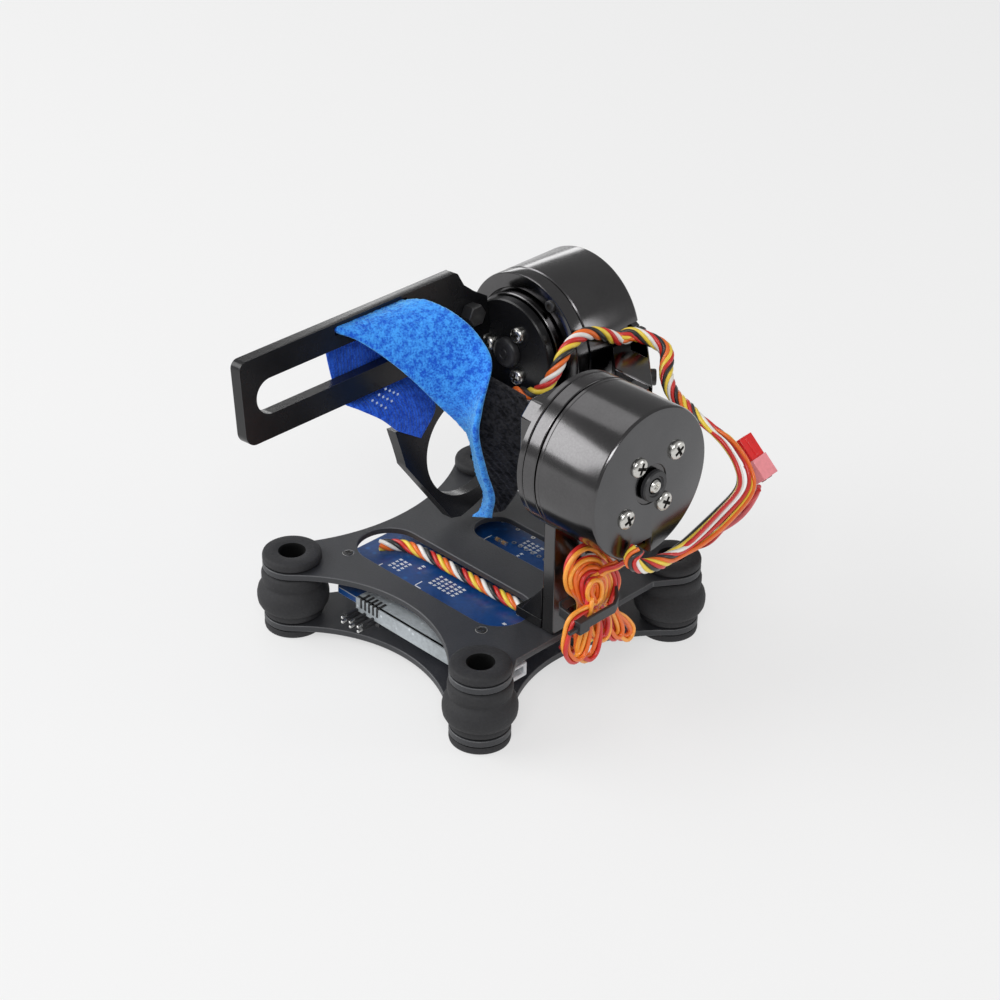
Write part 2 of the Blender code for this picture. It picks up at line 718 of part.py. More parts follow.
def tray():
    lo, hi = TRAY_X
    bm = bmesh.new()
    slot = obround(-43.2, 2.0, 10.8, 4.0)
    high = STRAP_SLOT_W + 1.0
    low = STRAP_SLOT_W - 1.0
    strap_slot = [(-24.9, low), (-4.1, low), (-4.1, high), (-24.9, high)]
    lens = circle(LENS_Y, LENS_W, LENS_R, 30)
    bolt = circle(13.8, 9.9, 1.4, 12)
    prism(bm, tray_outline(), TRAY_FRAME, lo, hi, [slot, strap_slot, lens, bolt])
    new_object("tray_plate", bm, ANODISED)

    bm = bmesh.new()
    where = frame(tray_point(0.0, 13.8, 9.9), TRAY_U, TRAY_V, TRAY_N)
    foot = hi + GAP
    profile = [(0.0, lo + 0.4), (1.0, lo + 0.4), (1.0, foot), (2.6, foot), (2.6, hi + 3.0), (0.0, hi + 3.0)]
    lathe(bm, profile, where, 6)
    new_object("tray_post", bm, BLACK_STEEL)

    lo, hi = FLANGE_Y
    bm = bmesh.new()
    holes = []
    for deg in (180.0, 60.0, -60.0):
        a = math.radians(deg)
        holes.append(circle(6.0 * math.sin(a), 6.0 * math.cos(a), 1.25, 8))
    where = frame((PITCH_X, 0, AXIS_Z), Z, X, Y)
    prism(bm, circle(0.0, 0.0, FLANGE_R, 32), where, lo, hi, holes)
    new_object("tray_flange", bm, ANODISED)

    for i, deg in enumerate((180.0, 60.0, -60.0)):
        a = math.radians(deg)
        spot = (PITCH_X + 6.0 * math.cos(a), lo - GAP, AXIS_Z + 6.0 * math.sin(a))
        bm = bmesh.new()
        screw(bm, frame(spot, Z, X, -Y), 1.9, 1.2, 0.9, hi - lo)
        new_object("flange_screw_%d" % (i + 1), bm, STEEL)

    bm = bmesh.new()
    lathe(bm, [(0.0, 18.1), (2.6, 18.1), (3.5, 18.7), (3.5, lo - GAP), (0.0, lo - GAP)], PITCH_FRAME, 20)
    new_object("hub_cap", bm, BLACK_PLASTIC)

    chips = [
        [(42.0, -12.5), (46.0, -12.5), (46.0, -8.5), (42.0, -8.5)],
        [(45.6, -6.9), (48.6, -6.9), (48.6, -5.4), (45.6, -5.4)],
    ]
    bm = bmesh.new()
    outline = [(39.4, -16.4), (48.9, -16.4), (48.9, -5.2), (39.4, -5.2)]
    bossed_block(bm, outline, frame((0, 0, 0), Z, X, -Y), -17.8, -16.4, chips, -15.2)
    new_object("sensor_board", bm, BOARD_BLUE)


def straps():
    """The blue loop strap, threaded through the bar and hung down the front, and the black hook strap."""
    back = TRAY_X[0] - 1.5
    front = TRAY_X[1] + 1.2
    mid = STRAP_SLOT_W
    lefts = [
        tray_point(front, -10.9, -9.4), tray_point(front, -15.2, -5.0), tray_point(-6.4, -19.0, -2.0),
        tray_point(-9.8, -21.8, 0.4), tray_point(back, -23.2, 6.0), tray_point(back, -24.2, 12.5),
        tray_point(back, -24.5, 17.0), tray_point(-8.7, -24.5, mid), tray_point(-5.6, -24.5, mid),
        (-16.4, -21.9, 72.8), (-12.0, -18.4, 69.2), (-7.5, -14.6, 64.2), (-4.2, -9.8, 57.4),
        (-2.6, -3.4, 49.8), (-2.6, -0.8, 45.6), (-2.6, 1.2, 36.8), (-3.0, 4.0, 30.1), (-4.0, 4.1, 25.2),
        (-6.0, 3.4, 22.6),
    ]
    rights = [
        tray_point(front, -4.0, -13.8), tray_point(front, 0.8, -8.4), tray_point(-6.4, 0.6, -3.4),
        tray_point(-9.8, 0.4, 0.0), tray_point(back, -1.4, 6.0), tray_point(back, -3.2, 12.5),
        tray_point(back, -4.5, 17.0), tray_point(-8.7, -4.5, mid), tray_point(-5.6, -4.5, mid),
        (-14.2, -3.0, 75.9), (-7.5, -1.4, 74.8), (-2.0, 0.1, 71.3), (4.0, -1.6, 67.2),
        (6.4, -7.3, 59.7), (6.6, -8.7, 53.6), (5.6, -5.2, 43.0), (5.0, -2.1, 35.1), (3.0, -0.6, 29.8),
        (2.2, 0.2, 27.4),
    ]
    bm = bmesh.new()
    ribbon(bm, lefts, rights, STRAP_T, 54)
    new_object("strap_loop", bm, BLUE_CLOTH)

    lefts = [
        (-0.6, 0.8, 61.9), (-1.4, 0.0, 55.4), (-3.2, -0.6, 47.5), (-4.4, 3.1, 38.1), (-5.4, 5.7, 29.0),
        (-6.6, 8.3, 21.3),
    ]
    rights = [
        (8.5, 4.4, 58.5), (8.8, 5.6, 54.0), (6.4, 7.0, 44.4), (4.4, 8.0, 36.1), (2.2, 8.2, 30.0),
        (-0.2, 7.0, 25.3),
    ]
    bm = bmesh.new()
    ribbon(bm, lefts, rights, STRAP_T, 12)
    new_object("strap_hook", bm, BLACK_CLOTH)


# ---------------------------------------------------------------- cords

PITCH_CABLE = [
    (-4.4, 12.2, 50.6), (-2.0, 12.4, 52.6), (1.6, 12.6, 53.6), (5.2, 13.0, 56.2), (6.8, 15.0, 60.2),
    (6.2, 18.4, 63.4),
    (5.6, 22.4, 65.0), (5.6, 26.6, 65.0), (6.2, 31.0, 63.4), (7.0, 35.4, 61.0), (8.3, 38.8, 61.4),
    (14.0, 42.6, 58.6), (17.6, 39.4, 54.6), (22.4, 36.6, 52.6), (29.0, 34.8, 51.8), (35.0, 33.6, 51.2),
    (39.6, 34.9, 48.4), (43.2, 35.9, 43.8), (46.2, 33.4, 40.4), (49.0, 23.6, 39.4), (50.9, 11.6, 38.4),
    (51.8, 1.0, 38.8),
    (51.4, -4.6, 39.8), (50.6, -7.4, 42.0), (50.6, -5.6, 44.2),
]
BOARD_CABLE = [
    (46.8, -2.4, 40.8), (46.3, -2.6, 38.5), (43.6, -2.6, 37.1), (39.6, -2.5, 36.9), (36.2, -2.2, 36.5),
    (34.2, -1.6, 33.4), (33.8, -1.2, 30.0), (33.8, -0.8, 24.0), (34.4, -0.6, 17.6),
    (34.9, -0.8, 14.2), (33.5, -1.2, 11.6), (30.4, -1.8, 11.7), (24.0, -2.6, 11.8), (14.0, -3.2, 11.8),
    (4.0, -3.4, 11.8), (-6.0, -3.4, 11.8), (-15.0, -3.6, 11.8), (-20.8, -4.8, 11.8), (-24.6, -8.4, 11.8),
]
SERVO_LEAD = [(33.8, -12.6, 9.6), (34.7, -12.8, 12.2), (35.5, -11.8, 15.6), (35.6, -10.0, 19.0)]
POWER_LEAD = [
    (9.0, 24.5, 11.6), (13.0, 27.5, 11.7), (18.5, 33.0, 12.0), (25.0, 37.8, 13.4), (31.2, 39.2, 17.0),
    (35.2, 39.8, 21.6), (39.6, 41.2, 27.6), (42.2, 42.5, 32.6), (43.2, 42.6, 35.3),
]


def hank_outline():
    """The bundle seen from the front: a fan above the tie and long loops below it."""
    points = arc(-7.0, 29.6, 6.0, -20.0, 200.0, 10)
    points += [(-11.6, 26.7), (-11.2, 25.0)]
    points += arc(-8.4, 15.4, 5.8, 180.0, 270.0, 6)
    points += arc(-0.4, 16.4, 6.2, 270.0, 360.0, 6)
    points += [(1.0, 25.0), (0.2, 26.7)]
    return points


def cords():
    cord("pitch_cable", PITCH_CABLE, CABLE_D, CABLE, 4.5)
    cord("board_cable", BOARD_CABLE, BOARD_CABLE_D, CABLE, 5.0)
    cord("servo_lead", SERVO_LEAD, 2.0, CABLE, 2.4)
    cord("power_lead", POWER_LEAD, WIRE_D, RED_WIRE, 4.0)

    bm = bmesh.new()
    prism(bm, hank_outline(), ACROSS_X, 37.3, 44.0)
    new_object("servo_hank", bm, CABLE)
    bm = bmesh.new()
    outer = [(36.0, -13.0), (45.2, -13.0), (45.2, 2.6), (36.0, 2.6)]
    inner = [(36.8, -12.2), (44.4, -12.2), (44.4, 1.8), (36.8, 1.8)]
    prism(bm, outer, FLAT, 24.5, 26.8, [inner])
    new_object("hank_tie", bm, BLACK_PLASTIC)

    bm = bmesh.new()
    along = Vector((-0.70, -0.08, 0.71)).normalized()
    side = (X - along * along.x).normalized()
    where = frame((44.1, 43.9, 37.6), side, along.cross(side), along)
    outline = [(-2.0, -2.2), (2.0, -2.2), (2.0, 2.2), (-2.0, 2.2)]
    neck = [(-1.7, -1.9), (1.7, -1.9), (1.7, 1.9), (-1.7, 1.9)]
    bossed_block(bm, outline, where, 0.0, 5.0, [neck], 10.4)
    new_object("power_plug", bm, RED_WIRE)


def notch_shapes():
    """The cable notches in the two motor housings and the screw holes in the bracket's foot."""
    bm = bmesh.new()
    box(bm, (43.5, -6.0, 37.0), (50.0, 1.0, 43.2))
    box(bm, (1.0, 41.0, 55.2), (6.0, 46.0, 61.2))
    for y in (-5.5, 5.5):
        prism(bm, circle(23.8, y, 1.6, 10), FLAT, 14.0, 19.0)
    for u, v in cross_pattern():
        prism(bm, circle(u, AXIS_Z + v, 1.25, 10), ACROSS_X, 46.0, 49.5)
    shapes = new_object("notch_shapes", bm, BLACK_PLASTIC)
    shapes.hide_render = True
    shapes.display_type = "WIRE"
    return shapes


def hang_on_axis(name, spot, names):
    """Give the pieces that turn together one parent, standing on their joint's axis."""
    pivot = bpy.data.objects.new(name, None)
    pivot.location = Vector(spot) * MM
    bpy.context.scene.collection.objects.link(pivot)
    bpy.context.view_layer.update()
    for item in names:
        obj = bpy.data.objects[item]
        obj.parent = pivot
        obj.matrix_parent_inverse = pivot.matrix_world.inverted()


ARM_PIECES = [
    "roll_motor_rotor", "roll_motor_magnets", "roll_motor_shaft", "roll_shaft_collar", "arm_cross_plate",
    "arm_corner_block", "corner_screw", "arm_side_plate", "pitch_motor_housing", "pitch_motor_ring",
    "pitch_motor_stator", "pitch_motor_windings", "pitch_motor_bearing", "pitch_cable",
]
TRAY_PIECES = [
    "pitch_motor_rotor", "pitch_motor_magnets", "pitch_motor_shaft", "tray_flange", "flange_screw_1",
    "flange_screw_2", "flange_screw_3", "hub_cap", "tray_plate", "tray_post", "sensor_board", "strap_loop",
    "strap_hook",
]

clear_scene()
shapes = notch_shapes()
base_plates()
dampers()
controller()
bracket(shapes)
roll_motor(shapes)
arm()
pitch_motor(shapes)
tray()
straps()
cords()
hang_on_axis("roll_axis", (0.0, ROLL_Y, AXIS_Z), ARM_PIECES)
hang_on_axis("pitch_axis", (PITCH_X, 0.0, AXIS_Z), TRAY_PIECES)
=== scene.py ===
"""Visual model of the two-axis camera gimbal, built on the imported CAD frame.

Lengths are written in millimetres in the frame's own axes and scaled to metres when meshes are made.
"""
import json
import math

import bmesh
import bpy
from mathutils import Matrix, Vector, noise


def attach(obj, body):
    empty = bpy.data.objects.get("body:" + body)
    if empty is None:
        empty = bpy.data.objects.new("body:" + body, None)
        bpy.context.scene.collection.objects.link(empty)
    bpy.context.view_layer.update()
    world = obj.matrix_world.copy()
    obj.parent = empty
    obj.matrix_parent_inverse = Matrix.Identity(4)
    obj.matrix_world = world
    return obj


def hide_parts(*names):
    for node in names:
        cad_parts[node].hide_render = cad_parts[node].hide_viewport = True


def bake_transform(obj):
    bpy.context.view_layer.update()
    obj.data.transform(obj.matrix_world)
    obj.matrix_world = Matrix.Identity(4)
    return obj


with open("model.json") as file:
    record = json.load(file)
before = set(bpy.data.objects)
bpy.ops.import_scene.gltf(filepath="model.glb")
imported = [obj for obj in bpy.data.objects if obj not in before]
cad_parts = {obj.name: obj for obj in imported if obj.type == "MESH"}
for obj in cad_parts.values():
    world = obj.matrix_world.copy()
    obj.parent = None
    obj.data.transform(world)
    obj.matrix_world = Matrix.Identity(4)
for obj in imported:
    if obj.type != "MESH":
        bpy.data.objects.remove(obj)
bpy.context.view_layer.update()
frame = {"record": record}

MM = 0.001
X = Vector((1, 0, 0))
Y = Vector((0, 1, 0))
Z = Vector((0, 0, 1))
AXIS_Z = 56.2
PITCH_X = -12.2
MOTOR_R = 17.0


# ---------------------------------------------------------------- camera, floor and light

def set_camera():
    az, el, roll = math.radians(44.577), math.radians(31.365), math.radians(0.867)
    dist, focal = 556.19, 2490.1
    back = Vector((math.sin(az) * math.cos(el), -math.cos(az) * math.cos(el), math.sin(el)))
    right = Vector((math.cos(az), math.sin(az), 0.0))
    up = back.cross(right)
    right2 = right * math.cos(roll) + up * math.sin(roll)
    up2 = up * math.cos(roll) - right * math.sin(roll)
    tx = (481.92 - 500.0) / focal * dist
    ty = (500.0 - 552.39) / focal * dist
    spot = back * dist - right2 * tx - up2 * ty + Vector((0, 0, 17.4))
    turn = Matrix((right2, up2, back)).transposed().to_4x4()
    data = bpy.data.cameras.new("camera")
    data.sensor_width = 36.0
    data.lens = focal / 1000.0 * 36.0
    data.clip_start = 0.01
    cam = bpy.data.objects.new("camera", data)
    cam.matrix_world = Matrix.Translation(spot * MM) @ turn
    bpy.context.scene.collection.objects.link(cam)
    bpy.context.scene.camera = cam


def area_light(name, spot, aim, size, power, colour=(1.0, 1.0, 1.0)):
    data = bpy.data.lights.new(name, "AREA")
    data.shape = "RECTANGLE"
    data.size, data.size_y = size
    data.energy = power
    data.color = colour
    obj = bpy.data.objects.new(name, data)
    obj.location = spot
    obj.rotation_euler = (Vector(aim) - Vector(spot)).to_track_quat("-Z", "Y").to_euler()
    bpy.context.scene.collection.objects.link(obj)


def studio():
    bpy.context.scene.view_settings.view_transform = "Standard"
    world = bpy.data.worlds.new("studio")
    bpy.context.scene.world = world
    world.use_nodes = True
    world.node_tree.nodes["Background"].inputs[0].default_value = (1.0, 1.0, 1.0, 1.0)
    world.node_tree.nodes["Background"].inputs[1].default_value = 0.36
    bm = bmesh.new()
    bmesh.ops.create_grid(bm, x_segments=2, y_segments=2, size=3.0)
    mesh = bpy.data.meshes.new("floor")
    bm.to_mesh(mesh)
    bm.free()
    floor = bpy.data.objects.new("floor", mesh)
    floor.location = (0, 0, -0.0021)
    bpy.context.scene.collection.objects.link(floor)
    mat = bpy.data.materials.new("floor")
    mat.use_nodes = True
    shader = mat.node_tree.nodes["Principled BSDF"]
    shader.inputs["Base Color"].default_value = (0.28, 0.28, 0.28, 1.0)
    shader.inputs["Roughness"].default_value = 1.0
    shader.inputs["Specular IOR Level"].default_value = 0.0
    shader.inputs["Emission Color"].default_value = (1.0, 1.0, 1.0, 1.0)
    shader.inputs["Emission Strength"].default_value = 0.605
    floor.data.materials.append(mat)
    area_light("key", (-0.62, -0.60, 0.54), (0, 0, 0.04), (0.85, 0.6), 6.6)
    area_light("side", (0.90, 0.68, 0.36), (0, 0, 0.04), (0.4, 0.34), 1.8)
    area_light("back", (-0.92, 0.76, 0.22), (0, 0, 0.04), (0.5, 0.2), 1.0)
    area_light("top", (-0.45, 0.12, 0.85), (0, 0, 0.03), (0.5, 0.5), 0.9)
    area_light("front", (0.62, -0.75, 0.95), (0, 0, 0.04), (0.6, 0.4), 7.0)


set_camera()
studio()


# ---------------------------------------------------------------- materials

def material(name, colour, rough, metallic=0.0, vary=0.25, grain=1500.0, bump=0.05, rough_vary=0.1,
             coat=0.0, sheen=0.0, fleck=None, stretch=(1.0, 1.0, 1.0), specular=0.5):
    """A surface whose colour, roughness and relief come from noise in the piece's own space."""
    mat = bpy.data.materials.new(name)
    mat.use_nodes = True
    nodes = mat.node_tree.nodes
    links = mat.node_tree.links
    shader = nodes["Principled BSDF"]
    shader.inputs["Metallic"].default_value = metallic
    shader.inputs["Coat Weight"].default_value = coat
    shader.inputs["Coat Roughness"].default_value = 0.12
    shader.inputs["Sheen Weight"].default_value = sheen
    shader.inputs["Specular IOR Level"].default_value = specular
    coords = nodes.new("ShaderNodeTexCoord")
    mapping = nodes.new("ShaderNodeMapping")
    mapping.inputs["Scale"].default_value = stretch
    links.new(coords.outputs["Object"], mapping.inputs["Vector"])
    fine = nodes.new("ShaderNodeTexNoise")
    fine.inputs["Scale"].default_value = grain
    fine.inputs["Detail"].default_value = 4.0
    links.new(mapping.outputs["Vector"], fine.inputs["Vector"])
    broad = nodes.new("ShaderNodeTexNoise")
    broad.inputs["Scale"].default_value = 120.0
    broad.inputs["Detail"].default_value = 3.0
    links.new(coords.outputs["Object"], broad.inputs["Vector"])
    ramp = nodes.new("ShaderNodeValToRGB")
    low = [c * (1.0 - vary) for c in colour]
    high = [min(1.0, c * (1.0 + vary)) for c in colour]
    ramp.color_ramp.elements[0].position = 0.3
    ramp.color_ramp.elements[0].color = (*low, 1.0)
    ramp.color_ramp.elements[1].position = 0.7
    ramp.color_ramp.elements[1].color = (*high, 1.0)
    mixed = nodes.new("ShaderNodeMath")
    mixed.operation = "MULTIPLY_ADD"
    mixed.inputs[1].default_value = 0.5
    links.new(fine.outputs["Fac"], mixed.inputs[0])
    half = nodes.new("ShaderNodeMath")
    half.operation = "MULTIPLY"
    half.inputs[1].default_value = 0.5
    links.new(broad.outputs["Fac"], half.inputs[0])
    links.new(half.outputs[0], mixed.inputs[2])
    links.new(mixed.outputs[0], ramp.inputs["Fac"])
    out = ramp.outputs["Color"]
    if fleck:
        specks = nodes.new("ShaderNodeTexVoronoi")
        specks.inputs["Scale"].default_value = fleck[1]
        links.new(coords.outputs["Object"], specks.inputs["Vector"])
        edge = nodes.new("ShaderNodeValToRGB")
        edge.color_ramp.elements[0].position = 0.0
        edge.color_ramp.elements[0].color = (1, 1, 1, 1)
        edge.color_ramp.elements[1].position = fleck[2]
        edge.color_ramp.elements[1].color = (0, 0, 0, 1)
        links.new(specks.outputs["Distance"], edge.inputs["Fac"])
        blend = nodes.new("ShaderNodeMix")
        blend.data_type = "RGBA"
        blend.inputs["B"].default_value = (*fleck[0], 1.0)
        links.new(edge.outputs["Color"], blend.inputs["Factor"])
        links.new(out, blend.inputs["A"])
        out = blend.outputs["Result"]
    links.new(out, shader.inputs["Base Color"])
    spread = nodes.new("ShaderNodeMapRange")
    spread.inputs["To Min"].default_value = max(0.02, rough - rough_vary)
    spread.inputs["To Max"].default_value = min(1.0, rough + rough_vary)
    links.new(broad.outputs["Fac"], spread.inputs["Value"])
    links.new(spread.outputs["Result"], shader.inputs["Roughness"])
    relief = nodes.new("ShaderNodeBump")
    relief.inputs["Strength"].default_value = bump
    relief.inputs["Distance"].default_value = 0.0003
    links.new(fine.outputs["Fac"], relief.inputs["Height"])
    links.new(relief.outputs["Normal"], shader.inputs["Normal"])
    return mat


def cloth_material(name, colours, light, scale, sheen=0.8, ribs=None):
    """A woven or napped cloth: mottled between two colours, with ribs across it when it is woven."""
    mat = material(name, colours[0], 0.92, grain=scale, bump=0.9, sheen=sheen, specular=0.2)
    nodes = mat.node_tree.nodes
    links = mat.node_tree.links
    shader = nodes["Principled BSDF"]
    shader.inputs["Sheen Roughness"].default_value = 0.45
    shader.inputs["Sheen Tint"].default_value = (*light, 1.0)
    nodes["Noise Texture.001"].inputs["Scale"].default_value = 650.0
    stops = nodes["Color Ramp"].color_ramp.elements
    stops[0].position = 0.41
    stops[0].color = (*colours[0], 1.0)
    stops[1].position = 0.59
    stops[1].color = (*colours[1], 1.0)
    if ribs:
        coords = nodes["Texture Coordinate"]
        wave = nodes.new("ShaderNodeTexWave")
        wave.bands_direction = ribs
        wave.inputs["Scale"].default_value = scale * 0.16
        wave.inputs["Distortion"].default_value = 1.5
        links.new(coords.outputs["Object"], wave.inputs["Vector"])
        ridge = nodes.new("ShaderNodeBump")
        ridge.inputs["Strength"].default_value = 0.6
        ridge.inputs["Distance"].default_value = 0.0003
        links.new(wave.outputs["Fac"], ridge.inputs["Height"])
        links.new(nodes["Bump"].outputs["Normal"], ridge.inputs["Normal"])
        links.new(ridge.outputs["Normal"], shader.inputs["Normal"])
    return mat


PLATE = material("plate_black", (0.030, 0.031, 0.035), 0.5, vary=0.25, grain=2600, bump=0.12, fleck=((0.09, 0.09, 0.09), 520, 0.06))
PLATE_EDGE = material("plate_edge", (0.075, 0.077, 0.082), 0.45, vary=0.3, grain=1800, bump=0.2)
RUBBER = material("rubber_black", (0.016, 0.016, 0.018), 0.72, vary=0.35, grain=1700, bump=0.35, fleck=((0.06, 0.06, 0.06), 650, 0.07))
# painted shade: a near-black, dull copy of the damper rubber for the inner bore, standing in for the shade inside the
# hollow
HOLLOW_SHADE = material("rubber_hollow_painted_shade", (0.003, 0.003, 0.003), 0.9, vary=0.3, grain=1700, bump=0.2, specular=0.1)
GLOSS = material("anodised_black", (0.105, 0.103, 0.105), 0.17, metallic=1.0, vary=0.12, grain=2200, bump=0.02, rough_vary=0.04)
# painted highlight: a lighter grey for bevelled chamfers, standing in for light catching the edges of the black tray
EDGE_HIGHLIGHT = material("edge_painted_highlight", (0.10, 0.10, 0.105), 0.3, metallic=0.6, vary=0.3, grain=1500, bump=0.05)
TRAY = material("tray_black", (0.008, 0.008, 0.009), 0.26, vary=0.3, grain=2200, bump=0.04, rough_vary=0.06, specular=0.35)
FACE = material("motor_face", (0.115, 0.115, 0.118), 0.2, metallic=1.0, vary=0.1, grain=2600, bump=0.03, rough_vary=0.04)
STEEL = material("steel_bright", (0.62, 0.61, 0.58), 0.26, metallic=1.0, vary=0.15, grain=2500, bump=0.08)
STEEL_DARK = material("steel_black", (0.02, 0.02, 0.021), 0.4, vary=0.3, grain=2200, bump=0.1, coat=0.2)
# painted shade: a dark brown for the insides of screw cross recesses and hex sockets, standing in for the shade in them
RECESS_SHADE = material("recess_painted_shade", (0.02, 0.018, 0.016), 0.7, vary=0.3, grain=2500, bump=0.1)
NYLON = material("nylon_white", (0.72, 0.72, 0.70), 0.45, vary=0.06, grain=1400, bump=0.08)
GOLD = material("pins_gold", (0.72, 0.52, 0.22), 0.28, metallic=1.0, vary=0.15, grain=2000, bump=0.05)
SILVER = material("solder_silver", (0.75, 0.75, 0.74), 0.3, metallic=1.0, vary=0.15, grain=2000, bump=0.1)
CHIP = material("chip_black", (0.018, 0.018, 0.019), 0.5, vary=0.25, grain=3000, bump=0.1)
CERAMIC = material("capacitor_tan", (0.42, 0.27, 0.14), 0.5, vary=0.2, grain=2500, bump=0.05)
MARK = material("board_marking", (0.82, 0.84, 0.86), 0.5, vary=0.12, grain=3500, bump=0.05)
IRON = material("stator_iron", (0.3, 0.29, 0.28), 0.45, metallic=1.0, vary=0.2, grain=1800, bump=0.1, stretch=(6, 6, 1))
COPPER = material("winding_copper", (0.55, 0.17, 0.06), 0.35, metallic=1.0, vary=0.3, grain=2600, bump=0.5, stretch=(1, 6, 1))
NICKEL = material("magnet_nickel", (0.5, 0.5, 0.5), 0.3, metallic=1.0, vary=0.12, grain=2000, bump=0.05)
PLASTIC = material("plastic_black", (0.02, 0.02, 0.022), 0.42, vary=0.3, grain=2400, bump=0.1)
BLUE_BOARD = material("board_blue", (0.003, 0.050, 0.20), 0.34, vary=0.3, grain=900, bump=0.1, coat=0.3, fleck=((0.008, 0.12, 0.38), 330, 0.25))
BOARD_RIM = material("board_rim", (0.33, 0.36, 0.38), 0.45, vary=0.25, grain=1400, bump=0.1, fleck=((0.7, 0.74, 0.78), 420, 0.2))
SOCKET = material("socket_clear", (0.62, 0.64, 0.66), 0.3, vary=0.15, grain=1500, bump=0.05, coat=0.3)
WIRES = {
    "white": material("wire_white", (0.82, 0.80, 0.76), 0.38, vary=0.06, grain=1500, bump=0.05, coat=0.2),
    "red": material("wire_red", (0.60, 0.025, 0.02), 0.36, vary=0.12, grain=1500, bump=0.05, coat=0.2),
    "yellow": material("wire_yellow", (0.85, 0.62, 0.06), 0.36, vary=0.1, grain=1500, bump=0.05, coat=0.2),
    "orange": material("wire_orange", (0.80, 0.15, 0.016), 0.36, vary=0.1, grain=1500, bump=0.05, coat=0.2),
    "black": material("wire_black", (0.02, 0.02, 0.02), 0.36, vary=0.2, grain=1500, bump=0.05, coat=0.2),
    "brown": material("wire_brown", (0.20, 0.03, 0.02), 0.38, vary=0.15, grain=1500, bump=0.05, coat=0.2),
    "amber": material("wire_amber", (0.90, 0.34, 0.04), 0.36, vary=0.12, grain=1500, bump=0.05, coat=0.2),
    "pink": material("wire_pink", (0.70, 0.12, 0.13), 0.36, vary=0.12, grain=1500, bump=0.05, coat=0.2),
}
LOOP = cloth_material("loop_blue", ((0.008, 0.09, 0.62), (0.06, 0.36, 0.98)), (0.3, 0.75, 1.0), 2300.0, 1.0)
WEBBING = cloth_material("webbing_blue", ((0.008, 0.06, 0.48), (0.03, 0.14, 0.78)), (0.3, 0.5, 1.0), 2200.0, 0.4, "Y")
HOOK = cloth_material("hook_black", ((0.004, 0.004, 0.005), (0.035, 0.035, 0.038)), (0.4, 0.4, 0.45), 1500.0, 0.3, "DIAGONAL")
DOTS = material("woven_dots", (0.50, 0.62, 0.85), 0.85, vary=0.15, grain=2600, bump=0.4, sheen=0.3)


# ---------------------------------------------------------------- mesh tools

def piece(name, bm, looks, body, nodes=(), bevel=0.0, edge=False, angle=35.0, smooth=True, segments=2):
    """Make a mesh object from millimetre geometry and hang it on its body."""
    bmesh.ops.remove_doubles(bm, verts=bm.verts, dist=0.0005)
    bmesh.ops.recalc_face_normals(bm, faces=bm.faces)
    bmesh.ops.scale(bm, vec=(MM, MM, MM), verts=bm.verts)
    mesh = bpy.data.meshes.new(name)
    bm.to_mesh(mesh)
    bm.free()
    for look in looks:
        mesh.materials.append(look)
    if smooth:
        mesh.shade_smooth()
        mesh.set_sharp_from_angle(angle=math.radians(angle))
    obj = bpy.data.objects.new(name, mesh)
    bpy.context.scene.collection.objects.link(obj)
    if bevel:
        mod = obj.modifiers.new("bevel", "BEVEL")
        mod.width = bevel * MM
        mod.segments = segments
        mod.limit_method = "ANGLE"
        mod.angle_limit = math.radians(32.0)
        mod.harden_normals = False
        if edge:
            mod.material = 1
    if nodes:
        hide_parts(*nodes)
    if body:
        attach(obj, body)
    return obj


def frame_of(origin, u, v, n):
    return Vector(origin), Vector(u), Vector(v), Vector(n)


FLAT = frame_of((0, 0, 0), X, Y, Z)
ACROSS_X = frame_of((0, 0, 0), Y, Z, X)
ACROSS_Y = frame_of((0, 0, 0), Z, X, Y)
ROLL = frame_of((0, 0, AXIS_Z), Y, Z, X)
PITCH = frame_of((PITCH_X, 0, AXIS_Z), Z, X, Y)
TILT = Matrix.Rotation(math.radians(-5.0), 3, "Y")
TRAY_U, TRAY_V, TRAY_N = Y, TILT @ Z, TILT @ X
TRAY_FRAME = frame_of((PITCH_X, 0, AXIS_Z), TRAY_U, TRAY_V, TRAY_N)


def tray_point(x, y, w):
    return Vector((PITCH_X, 0, AXIS_Z)) + TRAY_N * x + Y * y + TRAY_V * w


def place(where, u, v, n):
    origin, du, dv, dn = where
    return origin + du * u + dv * v + dn * n


def arc(cu, cv, radius, start, end, steps):
    points = []
    for i in range(steps + 1):
        a = math.radians(start + (end - start) * i / steps)
        points.append((cu + radius * math.cos(a), cv + radius * math.sin(a)))
    return points


def circle(cu, cv, radius, steps=48):
    return arc(cu, cv, radius, 0.0, 360.0, steps)[:-1]


def obround(cx0, cx1, cy, radius, steps=24):
    return arc(cx1, cy, radius, -90.0, 90.0, steps) + arc(cx0, cy, radius, 90.0, 270.0, steps)


def prism(bm, outer, where, low, high, holes=(), index=0):
    loops = [outer] + list(holes)
    rings = []
    made = []
    for level in (low, high):
        edges = []
        rows = []
        for loop in loops:
            row = [bm.verts.new(place(where, u, v, level)) for u, v in loop]
            edges += [bm.edges.new((row[i - 1], row[i])) for i in range(len(row))]
            rows.append(row)
        found = bmesh.ops.triangle_fill(bm, edges=edges, use_beauty=True)
        made += [f for f in found["geom"] if isinstance(f, bmesh.types.BMFace)]
        rings.append(rows)
    for row_low, row_high in zip(rings[0], rings[1]):
        for i in range(len(row_low)):
            made.append(bm.faces.new((row_low[i - 1], row_low[i], row_high[i], row_high[i - 1])))
    for f in made:
        f.material_index = index


def box(bm, low, high, index=0):
    outline = [(low[0], low[1]), (high[0], low[1]), (high[0], high[1]), (low[0], high[1])]
    prism(bm, outline, FLAT, low[2], high[2], index=index)


